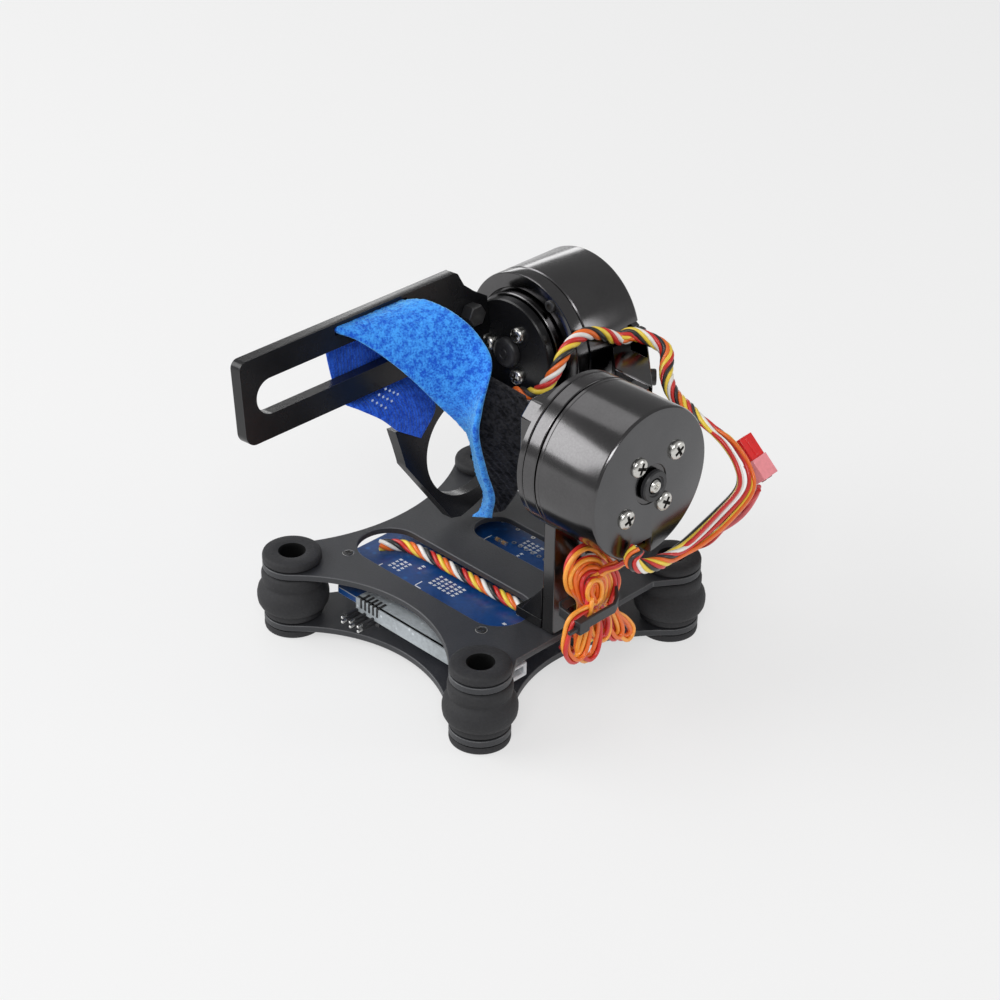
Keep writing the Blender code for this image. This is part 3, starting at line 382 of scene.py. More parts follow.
def lathe(bm, profile, where, segments=64, index=0, looks=None):
    rows = []
    for radius, height in profile:
        if radius < 1e-6:
            rows.append([bm.verts.new(place(where, 0.0, 0.0, height))])
            continue
        row = []
        for i in range(segments):
            a = 2.0 * math.pi * i / segments
            row.append(bm.verts.new(place(where, radius * math.cos(a), radius * math.sin(a), height)))
        rows.append(row)
    count = len(rows)
    for k in range(count):
        one = rows[k]
        two = rows[(k + 1) % count]
        slot = looks[k] if looks else index
        if len(one) == 1 and len(two) == 1:
            continue
        for i in range(segments):
            j = (i + 1) % segments
            if len(one) == 1:
                f = bm.faces.new((one[0], two[i], two[j]))
            elif len(two) == 1:
                f = bm.faces.new((one[i], one[j], two[0]))
            else:
                f = bm.faces.new((one[i], one[j], two[j], two[i]))
            f.material_index = slot


def cut(obj, boxes):
    """Take boxes out of a piece and keep the result as its mesh."""
    bm = bmesh.new()
    for low, high in boxes:
        box(bm, low, high)
    bmesh.ops.recalc_face_normals(bm, faces=bm.faces)
    bmesh.ops.scale(bm, vec=(MM, MM, MM), verts=bm.verts)
    mesh = bpy.data.meshes.new("cutter")
    bm.to_mesh(mesh)
    bm.free()
    tool = bpy.data.objects.new("cutter", mesh)
    bpy.context.scene.collection.objects.link(tool)
    mod = obj.modifiers.new("cut", "BOOLEAN")
    mod.operation = "DIFFERENCE"
    mod.solver = "EXACT"
    mod.object = tool
    bpy.context.view_layer.update()
    graph = bpy.context.evaluated_depsgraph_get()
    done = bpy.data.meshes.new_from_object(obj.evaluated_get(graph), depsgraph=graph)
    obj.modifiers.remove(mod)
    obj.data = done
    bpy.data.objects.remove(tool, do_unlink=True)


def smooth_path(points, step):
    pts = [Vector(p) for p in points]
    pts = [pts[0] * 2 - pts[1]] + pts + [pts[-1] * 2 - pts[-2]]
    fine = []
    for k in range(1, len(pts) - 2):
        p0, p1, p2, p3 = pts[k - 1:k + 3]
        for i in range(24):
            t = i / 24.0
            fine.append(0.5 * (
                2 * p1 + (p2 - p0) * t + (2 * p0 - 5 * p1 + 4 * p2 - p3) * t * t
                + (3 * p1 - p0 - 3 * p2 + p3) * t * t * t
            ))
    fine.append(pts[-2].copy())
    total = sum((b - a).length for a, b in zip(fine, fine[1:]))
    count = max(3, round(total / step))
    out = [fine[0]]
    walked = 0.0
    target = total / count
    for a, b in zip(fine, fine[1:]):
        length = (b - a).length
        while walked + length >= target - 1e-9 and len(out) < count:
            out.append(a.lerp(b, (target - walked) / max(length, 1e-9)))
            target += total / count
        walked += length
    out.append(fine[-1])
    return out, total


def carried_frames(path):
    """A side direction for each point that turns as little as it can along the path."""
    tangents = []
    for i in range(len(path)):
        a = path[max(i - 1, 0)]
        b = path[min(i + 1, len(path) - 1)]
        tangents.append((b - a).normalized())
    side = tangents[0].orthogonal().normalized()
    frames = []
    for i, tangent in enumerate(tangents):
        if i:
            side = (side - tangent * side.dot(tangent)).normalized()
        frames.append((side.copy(), tangent.cross(side)))
    return frames


def strand_cable(bm, path, strands, wire_d, lay_r, pitch, spread=None, sides=8):
    """Wires laid round a route. spread(share, k, p) gives how far a wire leaves the lay and its own offset there."""
    frames = carried_frames(path)
    step = (path[1] - path[0]).length
    count = len(strands)
    for k, look in enumerate(strands):
        line = []
        turn = 2.0 * math.pi * k / count
        for i, p in enumerate(path):
            share = i / (len(path) - 1)
            side, top = frames[i]
            place_at = p + side * math.cos(turn) * lay_r + top * math.sin(turn) * lay_r
            loosen = 0.0
            if spread:
                loosen, own = spread(share, k, p)
                place_at = place_at.lerp(p + own, loosen)
            turn += 2.0 * math.pi * step / pitch * (1.0 - loosen)
            line.append(place_at)
        tube(bm, line, wire_d / 2.0, look, sides)


def tube(bm, line, radius, index, sides=8):
    frames = carried_frames(line)
    rings = []
    for p, (side, top) in zip(line, frames):
        ring = []
        for j in range(sides):
            a = 2.0 * math.pi * j / sides
            ring.append(bm.verts.new(p + side * math.cos(a) * radius + top * math.sin(a) * radius))
        rings.append(ring)
    for one, two in zip(rings, rings[1:]):
        for j in range(sides):
            k = (j + 1) % sides
            f = bm.faces.new((one[j], one[k], two[k], two[j]))
            f.material_index = index
    for end in (rings[0][::-1], rings[-1]):
        f = bm.faces.new(end)
        f.material_index = index


# ---------------------------------------------------------------- cords

SENSOR_ROUTE = [
    (-4.4, 12.2, 50.6), (-2.0, 12.4, 52.6), (1.6, 12.6, 53.6), (5.2, 13.0, 56.2), (6.8, 15.0, 60.2),
    (6.2, 18.4, 63.4), (5.6, 22.4, 65.0), (5.6, 26.6, 65.0), (6.2, 31.0, 63.4), (7.0, 35.4, 61.0),
    (8.3, 38.8, 61.4),
]
LOOP_ROUTE = [
    (7.0, 35.4, 61.0), (8.3, 38.8, 61.4), (14.0, 42.6, 58.6), (17.6, 39.4, 54.6), (22.4, 36.6, 52.6),
    (29.0, 34.8, 51.8), (35.0, 33.6, 51.2), (39.6, 34.9, 48.4), (43.2, 35.9, 43.8), (46.2, 33.4, 40.4),
    (49.0, 23.6, 39.4), (50.9, 11.6, 38.4), (51.8, 1.0, 38.8), (51.4, -4.6, 39.8), (50.6, -7.4, 42.0),
    (50.6, -5.6, 44.2),
]
BOARD_ROUTE = [
    (46.8, -2.4, 40.8), (46.3, -2.6, 38.5), (43.6, -2.6, 37.1), (39.6, -2.5, 36.9), (36.2, -2.2, 36.5),
    (34.2, -1.6, 33.4), (33.8, -1.2, 30.0), (33.8, -0.8, 24.0), (34.4, -0.6, 17.6),
    (34.9, -0.8, 14.2), (33.5, -1.2, 11.6), (30.4, -1.8, 11.7), (24.0, -2.6, 11.8), (14.0, -3.2, 11.8),
    (4.0, -3.4, 11.8), (-6.0, -3.4, 11.8), (-15.0, -3.6, 11.8), (-20.8, -4.8, 11.8), (-24.6, -8.4, 11.8),
]
POWER_ROUTE = [
    (9.0, 24.5, 11.6), (13.0, 27.5, 11.7), (18.5, 33.0, 12.0), (25.0, 37.8, 13.4), (31.2, 39.2, 17.0),
    (35.2, 39.8, 21.6), (39.6, 41.2, 27.6), (42.2, 42.5, 32.6), (43.2, 42.6, 35.3),
]
FIVE = ["white", "red", "yellow", "black", "orange"]
EIGHT = ["yellow", "orange", "black", "red", "white", "yellow", "black", "red"]
FAN = [(3.0, 0.5), (2.4, 0.9), (2.7, -0.5), (1.6, 0.2), (-1.6, 0.6), (-2.6, 0.0), (-1.9, -0.7), (-2.9, 0.9)]


def cords():
    path, total = smooth_path(SENSOR_ROUTE, 0.5)
    bm = bmesh.new()
    strand_cable(bm, path, range(5), 1.15, 0.95, 11.0)
    obj = piece("sensor_cable", bm, [WIRES[c] for c in FIVE], None, ["pitch_cable"], angle=60.0)
    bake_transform(obj)

    def fan(share, k, p):
        """Part of the way round, five wires bow outwards from the motor and three fall inwards."""
        rise = max(0.0, math.sin(math.pi * min(1.0, max(0.0, (share - 0.30) / 0.58))))
        out = Vector((0.0, p.y, p.z - AXIS_Z)).normalized()
        reach, slide = FAN[k]
        wave = 0.5 * math.sin(9.0 * share + 1.7 * k)
        return min(1.0, rise * 1.8), out * (reach + wave) * rise + X * slide

    path, total = smooth_path(LOOP_ROUTE, 0.5)
    bm = bmesh.new()
    strand_cable(bm, path, range(8), 0.95, 1.15, 14.0, fan)
    obj = piece("service_cable", bm, [WIRES[c] for c in EIGHT], None, ["pitch_cable"], angle=60.0)
    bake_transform(obj)

    path, total = smooth_path(BOARD_ROUTE, 0.5)
    bm = bmesh.new()
    strand_cable(bm, path, range(5), 1.05, 0.9, 10.0)
    names = ["orange", "white", "black", "red", "yellow"]
    obj = piece("board_wires", bm, [WIRES[c] for c in names], "base", ["board_cable"], angle=60.0)

    path, total = smooth_path(POWER_ROUTE, 0.5)
    bm = bmesh.new()
    strand_cable(bm, path, range(2), 1.15, 0.58, 26.0)
    obj = piece("power_wires", bm, [WIRES["pink"], WIRES["red"]], "base", ["power_lead"], angle=60.0)
    plug = power_plug()
    hank()


def power_plug():
    """A small two-way plug: a pink sleeve on the leads and a red shell with a rib down each side."""
    red = material("plug_red", (0.72, 0.012, 0.012), 0.3, vary=0.12, grain=1500, bump=0.05, coat=0.3)
    pink = material("plug_pink", (0.90, 0.30, 0.33), 0.25, vary=0.12, grain=1200, bump=0.05, coat=0.4)
    # painted shade: a dark red for the floor of the plug's mouth and the two wire entries, standing in for the shade in
    # these openings
    dark = material("plug_mouth_painted_shade", (0.20, 0.01, 0.01), 0.5, vary=0.3, grain=1500, bump=0.1)
    along = Vector((-0.70, -0.08, 0.71)).normalized()
    side = (X - along * along.x).normalized()
    where = frame_of((44.1, 43.9, 37.6), side, along.cross(side), along)
    bm = bmesh.new()
    prism(bm, oblong(2.0, 2.2), where, 0.0, 5.0, index=1)
    prism(bm, oblong(1.75, 1.95), where, 5.0, 10.4, [oblong(1.2, 1.35)], index=0)
    prism(bm, oblong(1.2, 1.35), where, 5.0, 9.6, index=2)
    for u in (-1.9, 1.65):
        prism(bm, [(u, -0.5), (u + 0.25, -0.5), (u + 0.25, 0.5), (u, 0.5)], where, 5.6, 9.8, index=0)
    for v in (-0.9, 0.9):
        prism(bm, [(-0.55, v - 0.5), (0.55, v - 0.5), (0.55, v + 0.5), (-0.55, v + 0.5)], where, -0.25, 0.0, index=2)
    return piece("power_plug_shell", bm, [red, pink, dark], "base", ["power_plug"], bevel=0.2)


def oblong(u, v):
    return [(-u, -v), (u, -v), (u, v), (-u, v)]


HANK_LOOPS = [
    (38.8, [(-9.5, 27.4), (-12.8, 32.2), (-13.8, 36.6), (-11.9, 39.7), (-7.7, 40.0), (-3.5, 36.5), (0.1, 31.6), (1.9, 27.2), (0.5, 23.8)]),
    (39.2, [(1.2, 19.8), (4.6, 16.2), (6.7, 12.8), (5.2, 11.2), (2.2, 13.9), (0.0, 19.4), (-2.4, 23.5)]),
    (39.7, [(-9.3, 27.7), (-12.2, 32.3), (-13.0, 35.9), (-10.6, 37.8), (-6.6, 36.8), (-3.1, 33.2), (-0.7, 28.9), (-1.4, 24.9)]),
    (40.1, [(-3.2, 20.8), (-1.4, 16.3), (0.9, 13.9), (2.1, 15.7), (-0.7, 21.2), (-5.0, 25.2)]),
    (40.6, [(-9.3, 28.2), (-11.3, 31.9), (-11.7, 34.8), (-9.4, 35.9), (-6.0, 34.2), (-3.6, 30.3), (-4.0, 26.5)]),
    (41.0, [(-8.4, 24.2), (-8.8, 21.3), (-5.9, 17.4), (-3.4, 17.2), (-3.3, 21.3), (-6.6, 26.4)]),
    (41.5, [(-9.1, 28.5), (-9.2, 31.8), (-7.8, 33.9), (-5.6, 32.4), (-5.5, 29.6), (-6.6, 27.6)]),
    (41.9, [(-11.2, 25.4), (-12.8, 21.1), (-12.7, 17.2), (-10.1, 14.4), (-7.7, 15.6), (-7.0, 20.9), (-8.5, 27.5)]),
    (42.4, [(-9.5, 28.9), (-11.1, 32.1), (-10.3, 34.2), (-8.1, 33.3), (-7.4, 30.4), (-8.5, 28.4)]),
    (42.9, [(-16.0, 28.2), (-17.6, 24.4), (-17.8, 20.5), (-15.2, 17.2), (-12.5, 17.9), (-11.3, 23.4), (-10.9, 29.3)]),
]


def hank_route():
    """Out of the board's edge, then by turns over the top and under the tie, and up to the motor's notch."""
    pts = [(30.5, -5.5, 9.8), (34.0, -6.0, 10.4), (36.4, -7.0, 13.8), (37.3, -8.2, 20.0)]
    for x, turns in HANK_LOOPS:
        pts += [(x, y, z) for y, z in turns]
    pts += [(41.2, -9.0, 31.0), (41.4, -6.0, 34.4), (43.8, -4.0, 36.2), (45.8, -2.6, 38.6)]
    return pts


def hank():
    path, total = smooth_path(hank_route(), 0.6)
    bm = bmesh.new()
    strand_cable(bm, path, range(3), 1.0, 0.6, 40.0)
    looks = [WIRES["orange"], WIRES["red"], WIRES["amber"]]
    obj = piece("servo_wires", bm, looks, "base", ["servo_lead", "servo_hank"], angle=60.0)
    bm = bmesh.new()
    outer = [(36.4, -13.4), (37.8, -14.8), (43.4, -15.6), (45.2, -14.2), (45.2, -5.4), (43.6, -2.6), (38.0, 2.6), (36.4, 1.8)]
    inner = [(37.1, -13.1), (38.1, -14.1), (43.2, -14.8), (44.4, -13.8), (44.4, -5.6), (43.1, -3.2), (37.9, 1.8), (37.1, 1.4)]
    prism(bm, outer, FLAT, 25.6, 27.9, [inner])
    box(bm, (43.6, -16.6, 25.2), (45.6, -13.6, 28.2))
    box(bm, (44.4, -19.2, 26.2), (45.2, -16.0, 27.0))
    tie = piece("tie_band", bm, [PLASTIC], "base", ["hank_tie"], bevel=0.15)


cords()


# ---------------------------------------------------------------- base

DAMPER = 30.0
LOBE_R = 6.7


def side_arc(side):
    half = math.degrees(math.asin(DAMPER / 41.0)) * 0.985
    return arc(58.0 * math.cos(math.radians(side)), 58.0 * math.sin(math.radians(side)), 34.3,
               side + 180.0 + half, side + 180.0 - half, 36)


def lower_outline():
    points = []
    for quarter in range(4):
        mid = 45.0 + 90.0 * quarter
        reach = DAMPER * math.sqrt(2.0)
        cx, cy = reach * math.cos(math.radians(mid)), reach * math.sin(math.radians(mid))
        points += arc(cx, cy, LOBE_R, mid - 88.0, mid + 88.0, 28)
        points += side_arc(90.0 * (quarter + 1))[1:-1]
    return points


def upper_outline():
    d = DAMPER
    half = math.degrees(math.asin(d / (45.9 + LOBE_R))) * 0.985
    points = [(32.3, 21.5)]
    points += arc(d, d, LOBE_R, -40.0, 133.0, 28)
    points += side_arc(90.0)[1:-1]
    points += arc(-d, d, LOBE_R, 47.0, 215.0, 28)
    points += arc(-27.3 - 45.9, 0.0, 45.9, half, -half, 36)[1:-1]
    points += arc(-d, -d, LOBE_R, 145.0, 313.0, 28)
    points += side_arc(270.0)[1:-1]
    points += arc(d, -d, LOBE_R, 227.0, 400.0, 28)
    points += [(32.3, -21.5)]
    return points


CORNERS = [(sx * DAMPER, sy * DAMPER) for sx in (-1, 1) for sy in (-1, 1)]
POSTS = [(x, y) for x in (-23.3, 19.3) for y in (-19.2, 19.2)]


def plates():
    holes = [circle(x, y, 4.5, 32) for x, y in CORNERS]
    slots = [obround(-12.0, 12.0, y, 2.0) for y in (-12.0, 12.0)]
    bm = bmesh.new()
    prism(bm, lower_outline(), FLAT, 0.0, 1.5, holes + slots)
    piece("lower_plate_body", bm, [PLATE, PLATE_EDGE], "base", ["lower_plate"], bevel=0.18, edge=True)
    windows = [obround(-19.2, 15.6, -10.35, 7.35), obround(-7.5, 15.6, 12.2, 5.2)]
    posts = [circle(x, y, 1.25, 24) for x, y in POSTS]
    bm = bmesh.new()
    prism(bm, upper_outline(), FLAT, 13.6, 15.1, holes + windows + posts)
    piece("upper_plate_body", bm, [PLATE, PLATE_EDGE], "base", ["upper_plate"], bevel=0.18, edge=True)
    for i, (x, y) in enumerate(POSTS):
        cross_head("post_head_%d" % (i + 1), frame_of((x, y, 15.03), X, Y, Z), 1.2, 0.2, "base",
                   look=STEEL_DARK, turn=0.5 + i)


def dampers():
    profile = [
        (2.75, -1.7), (3.0, -2.0), (6.2, -2.0), (6.6, -1.8), (6.7, -1.4), (6.7, -0.7), (6.5, -0.35), (4.2, -0.3),
        (4.2, 1.8), (6.0, 1.8), (6.6, 2.0), (6.8, 2.6), (6.7, 3.3), (7.0, 3.6), (7.6, 4.1), (8.0, 4.9), (8.15, 5.9),
        (8.15, 7.0), (7.9, 8.1), (7.4, 9.0), (6.95, 9.5), (6.75, 9.9), (6.9, 10.3), (7.05, 10.9), (7.05, 12.2),
        (6.8, 12.9), (6.2, 13.25), (4.2, 13.3), (4.2, 15.4), (6.4, 15.4), (6.7, 15.7), (6.7, 16.7), (6.55, 17.15),
        (6.2, 17.4), (3.1, 17.4), (2.8, 17.2), (2.75, 16.8), (2.75, 11.6), (5.6, 6.6), (2.75, 2.6),
    ]
    for i, (x, y) in enumerate(CORNERS):
        bm = bmesh.new()
        # the last six profile steps, the inner bore, take the painted shade material
        inside = 6
        looks = [0] * (len(profile) - inside) + [1] * inside
        lathe(bm, profile, frame_of((x, y, 0), X, Y, Z), 56, looks=looks)
        piece("damper_body_%d" % (i + 1), bm, [RUBBER, HOLLOW_SHADE], "base", ["damper_%d" % (i + 1)], angle=50.0)


def controller():
    x0, x1, y1 = -29.4, 23.0, 25.0
    c = 6.0
    outline = [
        (x0 + 9.0, -y1), (x1 - c, -y1), (x1, c - y1), (x1, y1 - c), (x1 - c, y1), (x0 + c, y1), (x0, y1 - c),
        (x0, 9.0 - y1),
    ]
    holes = [circle(x, y, 1.6, 20) for x, y in POSTS]
    bm = bmesh.new()
    prism(bm, outline, FLAT, 8.4, 10.0, holes)
    piece("controller_panel", bm, [BLUE_BOARD, BOARD_RIM], "base", ["controller_board"], bevel=0.12, edge=True)

    # printed marks, solder pads and small parts on the board's upper face
    top = 10.0
    bm = bmesh.new()
    for x, y, columns, rows in ((-19.2, -11.0, 3, 4), (-13.6, -7.0, 1, 2), (-7.6, -9.4, 6, 4), (15.0, -4.2, 1, 2),
                                (15.4, -9.0, 1, 1), (-4.6, 16.6, 4, 3), (-1.8, 12.8, 1, 2), (5.0, 10.4, 2, 2)):
        for a in range(columns):
            for b in range(rows):
                u = x + 1.45 * a
                v = y + 1.15 * b
                wide = 0.75 + 0.35 * noise.noise(Vector((u * 1.7, v * 2.3, 0.4)))
                box(bm, (u, v, top), (u + wide, v + 0.22, top + 0.02), 0)
                box(bm, (u + 0.3, v + 0.34, top), (u + 0.3 + wide * 0.8, v + 0.56, top + 0.02), 0)
                box(bm, (u + 0.1, v + 0.1, top), (u + 0.32, v + 0.66, top + 0.02), 0)
    for x, y, w, h in ((-20.6, -13.2, 2.4, 1.8), (-9.0, -12.4, 2.0, 2.4), (-12.0, 10.0, 5.0, 5.0), (8.0, 13.0, 4.0, 3.0)):
        box(bm, (x, y, top), (x + w, y + 0.25, top + 0.02))
        box(bm, (x, y, top), (x + 0.25, y + h, top + 0.02))
    piece("board_print", bm, [MARK], "base", smooth=False)
    bm = bmesh.new()
    box(bm, (-14.2, -25.3, 6.8), (16.6, -24.2, top + 0.3))
    box(bm, (-14.2, -24.9, top), (16.6, -20.4, top + 0.3))
    for k in range(5):
        box(bm, (-12.6 + 1.3 * k, -25.5, 8.2), (-12.1 + 1.3 * k, -22.6, top + 0.55), 1)
    piece("board_edge_strip", bm, [BOARD_RIM, CHIP], "base", bevel=0.1)
    bm = bmesh.new()
    for k in range(14):
        x = -17.0 + 2.5 * k
        y = 22.4 - 1.2 * (k % 2)
        prism(bm, circle(x, y, 0.55, 14), FLAT, top, top + 0.05, [circle(x, y, 0.25, 10)])
    for k in range(8):
        prism(bm, circle(-6.0 + 2.0 * k, 16.4, 0.6, 14), FLAT, top, top + 0.05, [circle(-6.0 + 2.0 * k, 16.4, 0.28, 10)])
    piece("board_pads", bm, [SILVER], "base", smooth=False)
    bm = bmesh.new()
    for x, y in ((4.0, 5.0), (6.5, 5.2), (-10.0, 14.0), (-8.0, 14.0), (12.6, 12.0), (12.6, 9.0), (-1.0, 6.2)):
        box(bm, (x, y, top), (x + 1.5, y + 0.8, top + 0.6), 0)
        for dx in (-0.15, 1.25):
            box(bm, (x + dx, y - 0.03, top), (x + dx + 0.4, y + 0.83, top + 0.64), 1)
    piece("board_small_parts", bm, [CERAMIC, SILVER], "base", bevel=0.06)

    # the pin header and the motor socket hang under the board's front edge
    under = 8.1
    bm = bmesh.new()
    box(bm, (-15.0, -24.8, under - 2.8), (-7.2, -22.2, under), 0)
    for i in range(3):
        x = -13.7 + 2.6 * i
        for z in (under - 0.9, under - 2.1):
            box(bm, (x - 0.3, -28.6, z - 0.3), (x + 0.3, -24.8, z + 0.3), 0)
            box(bm, (x - 0.28, -30.0, z - 0.28), (x + 0.28, -28.6, z + 0.28), 1)
    piece("header_block", bm, [PLASTIC, SILVER], "base", ["pin_header"], bevel=0.08)
    bm = bmesh.new()
    outline = [(-19.4, under - 3.6), (-13.2, under - 3.6), (-13.2, under), (-19.4, under)]
    hollow = [(-18.4, under - 2.7), (-14.2, under - 2.7), (-14.2, under - 0.9), (-18.4, under - 0.9)]
    prism(bm, outline, ACROSS_X, 21.5, 27.5, [hollow])
    piece("socket_shell", bm, [SOCKET], "base", ["motor_socket"], bevel=0.4, segments=3)




# ---------------------------------------------------------------- screws

def cross_head(name, where, radius, height, body, nodes=(), look=None, turn=0.4, shank=0.0):
    """A pan-head screw with a cross recess, standing on n = 0."""
    bm = bmesh.new()
    seg = 40
    profile = [(0.0, -shank), (radius * 0.5, -shank)] if shank else []
    profile += [(radius * 0.5, 0.0), (radius, 0.0), (radius, height * 0.35), (radius * 0.95, height * 0.6),
                (radius * 0.82, height * 0.84), (radius * 0.6, height), (0.0, height * 1.04)]
    if not shank:
        profile = [(0.0, 0.0)] + profile[1:]
    lathe(bm, profile, where, seg)
    obj = piece(name, bm, [look or STEEL, RECESS_SHADE], body, nodes, angle=50.0)
    tool_bm = bmesh.new()
    wide, long = radius * 0.17, radius * 0.62
    c, s = math.cos(turn), math.sin(turn)
    for a, b in ((long, wide), (wide, long)):
        shape = [(-a, -b), (a, -b), (a, b), (-a, b)]
        prism(tool_bm, [(u * c - v * s, u * s + v * c) for u, v in shape], where, height * 0.3, height * 2.0)
    cut_with(obj, tool_bm)
    return obj


def cut_with(obj, bm):
    bmesh.ops.recalc_face_normals(bm, faces=bm.faces)
    bmesh.ops.scale(bm, vec=(MM, MM, MM), verts=bm.verts)
    mesh = bpy.data.meshes.new("cutter")
    bm.to_mesh(mesh)
    bm.free()
    # the faces the cutter leaves take the painted shade of the recess
    mesh.materials.append(RECESS_SHADE)
    tool = bpy.data.objects.new("cutter", mesh)
    bpy.context.scene.collection.objects.link(tool)
    mod = obj.modifiers.new("cut", "BOOLEAN")
    mod.operation = "DIFFERENCE"
    mod.solver = "EXACT"
    mod.use_self = True
    mod.material_mode = "TRANSFER"
    mod.object = tool
    bpy.context.view_layer.update()
    graph = bpy.context.evaluated_depsgraph_get()
    done = bpy.data.meshes.new_from_object(obj.evaluated_get(graph), depsgraph=graph)
    obj.modifiers.clear()
    obj.data = done
    bpy.data.objects.remove(tool, do_unlink=True)


def socket_head(name, where, radius, height, body, nodes=(), look=None):
    """A cap screw with a hexagonal socket, standing on n = 0."""
    bm = bmesh.new()
    lathe(bm, [(0.0, 0.0), (radius, 0.0), (radius, height * 0.85), (radius * 0.9, height), (0.0, height)], where, 40)
    obj = piece(name, bm, [look or STEEL_DARK, RECESS_SHADE], body, nodes, angle=40.0)
    tool = bmesh.new()
    prism(tool, circle(0.0, 0.0, radius * 0.55, 6), where, height * 0.35, height * 2.0)
    cut_with(obj, tool)
    return obj


# ---------------------------------------------------------------- motors

def cross_pattern():
    spots = []
    for k, radius in enumerate((9.0, 6.9, 9.0, 6.9)):
        a = math.radians(36.0) + math.pi / 2.0 * k
        spots.append((radius * math.cos(a), radius * math.sin(a)))
    return spots


def roll_motor():
    start, end = 31.95, 48.5
    r = MOTOR_R
    bm = bmesh.new()
    profile = [
        (15.6, start), (r - 0.25, start), (r, start + 0.25), (r, start + 0.9), (r - 0.12, start + 1.0),
        (r - 0.12, start + 1.15), (r, start + 1.25), (r, end - 0.8), (r - 0.1, end - 0.42), (r - 0.35, end - 0.12),
        (r - 0.75, end), (4.6, end), (4.4, end - 0.25), (1.8, end - 0.25), (1.8, start + 4.5), (4.4, start + 4.5),
        (4.4, end - 1.7), (15.6, end - 1.7),
    ]
    looks = [0] * 9 + [1, 1] + [0] * 7
    lathe(bm, profile, ROLL, 120, looks=looks)
    cup = piece("roll_housing_body", bm, [GLOSS, FACE], "base", ["roll_motor_housing"], angle=28.0)
    cut(cup, [((43.5, -6.0, 37.0), (50.0, 1.0, 43.2))])
    bm = bmesh.new()
    lathe(bm, [(14.35, 29.6), (1.8, 29.6), (1.8, 23.5), (7.8, 23.5), (8.0, 23.7), (8.0, 26.6), (r - 0.35, 26.6), (r - 0.1, 26.8),
               (r - 0.1, 27.9), (r - 0.3, 28.1), (15.15, 28.1), (15.15, 43.5), (14.35, 43.5)], ROLL, 96)
    piece("roll_rotor_body", bm, [GLOSS], "arm", ["roll_motor_rotor"], angle=28.0)
    bm = bmesh.new()
    lathe(bm, [(1.8, 48.65), (3.3, 48.65), (3.5, 48.8), (3.5, 49.55), (3.25, 49.9), (2.4, 49.9), (2.2, 49.6), (1.8, 49.6)], ROLL, 48)
    piece("roll_collar_body", bm, [PLASTIC], "arm", ["roll_shaft_collar"], angle=30.0)
    bm = bmesh.new()
    lathe(bm, [(0.0, 23.5), (1.5, 23.5), (1.5, 49.7), (1.2, 50.1), (0.7, 50.1), (0.5, 49.5), (0.0, 49.3)], ROLL, 36)
    piece("roll_shaft_body", bm, [STEEL], "arm", ["roll_motor_shaft"], angle=30.0)
    for i, (u, v) in enumerate(cross_pattern()):
        where = frame_of((end + 0.02, u, AXIS_Z + v), Y, Z, X)
        cross_head("roll_screw_%d" % (i + 1), where, 2.15, 1.0, "base", ["roll_motor_screw_%d" % (i + 1)],
                   turn=0.5 + 0.7 * i, shank=1.2)


def pitch_motor():
    start, end = 28.45, 45.0
    r = MOTOR_R
    bm = bmesh.new()
    profile = [
        (15.6, start), (r - 0.25, start), (r, start + 0.25), (r, end - 0.8), (r - 0.1, end - 0.42),
        (r - 0.35, end - 0.12), (r - 0.75, end), (1.8, end), (1.8, start + 4.5), (4.4, start + 4.5),
        (4.4, end - 1.7), (15.6, end - 1.7),
    ]
    lathe(bm, profile, PITCH, 120)
    cup = piece("pitch_housing_body", bm, [GLOSS, FACE], "arm", ["pitch_motor_housing"], angle=28.0)
    cut(cup, [((1.0, 41.0, 55.2), (6.0, 46.0, 61.2))])
    lo, hi = 24.6, 28.15
    bm = bmesh.new()
    profile = [(13.4, lo + 0.2), (13.6, lo), (r - 0.4, lo), (r - 0.1, lo + 0.15), (r, lo + 0.45), (r, hi - 0.2), (r - 0.2, hi),
               (15.6, hi), (15.6, lo + 1.3), (13.4, lo + 1.3)]
    lathe(bm, profile, PITCH, 120)
    piece("pitch_ring_body", bm, [GLOSS], "arm", ["pitch_motor_ring"], angle=28.0)
    for k in range(3):
        a = math.radians(57.0 + 120.0 * k)
        spot = (PITCH_X + 15.1 * math.cos(a), lo + 0.02, AXIS_Z + 15.1 * math.sin(a))
        socket_head("pitch_ring_screw_%d" % (k + 1), frame_of(spot, Z, X, -Y), 1.35, 0.7, "arm")
    bm = bmesh.new()
    profile = [(1.8, 22.6), (9.4, 22.6), (9.4, 23.6), (10.6, 23.6), (10.6, 22.6), (12.7, 22.6), (12.9, 22.8), (12.9, 26.2),
               (15.15, 26.2), (15.15, 40.0), (14.35, 40.0), (14.35, 27.6), (1.8, 27.6)]
    lathe(bm, profile, PITCH, 96)
    piece("pitch_rotor_body", bm, [GLOSS], "tray", ["pitch_motor_rotor"], angle=28.0)
    bm = bmesh.new()
    lathe(bm, [(0.0, 22.6), (1.5, 22.6), (1.5, 48.0), (1.2, 48.4), (0.0, 48.4)], PITCH, 36)
    piece("pitch_shaft_body", bm, [STEEL], "tray", ["pitch_motor_shaft"], angle=30.0)


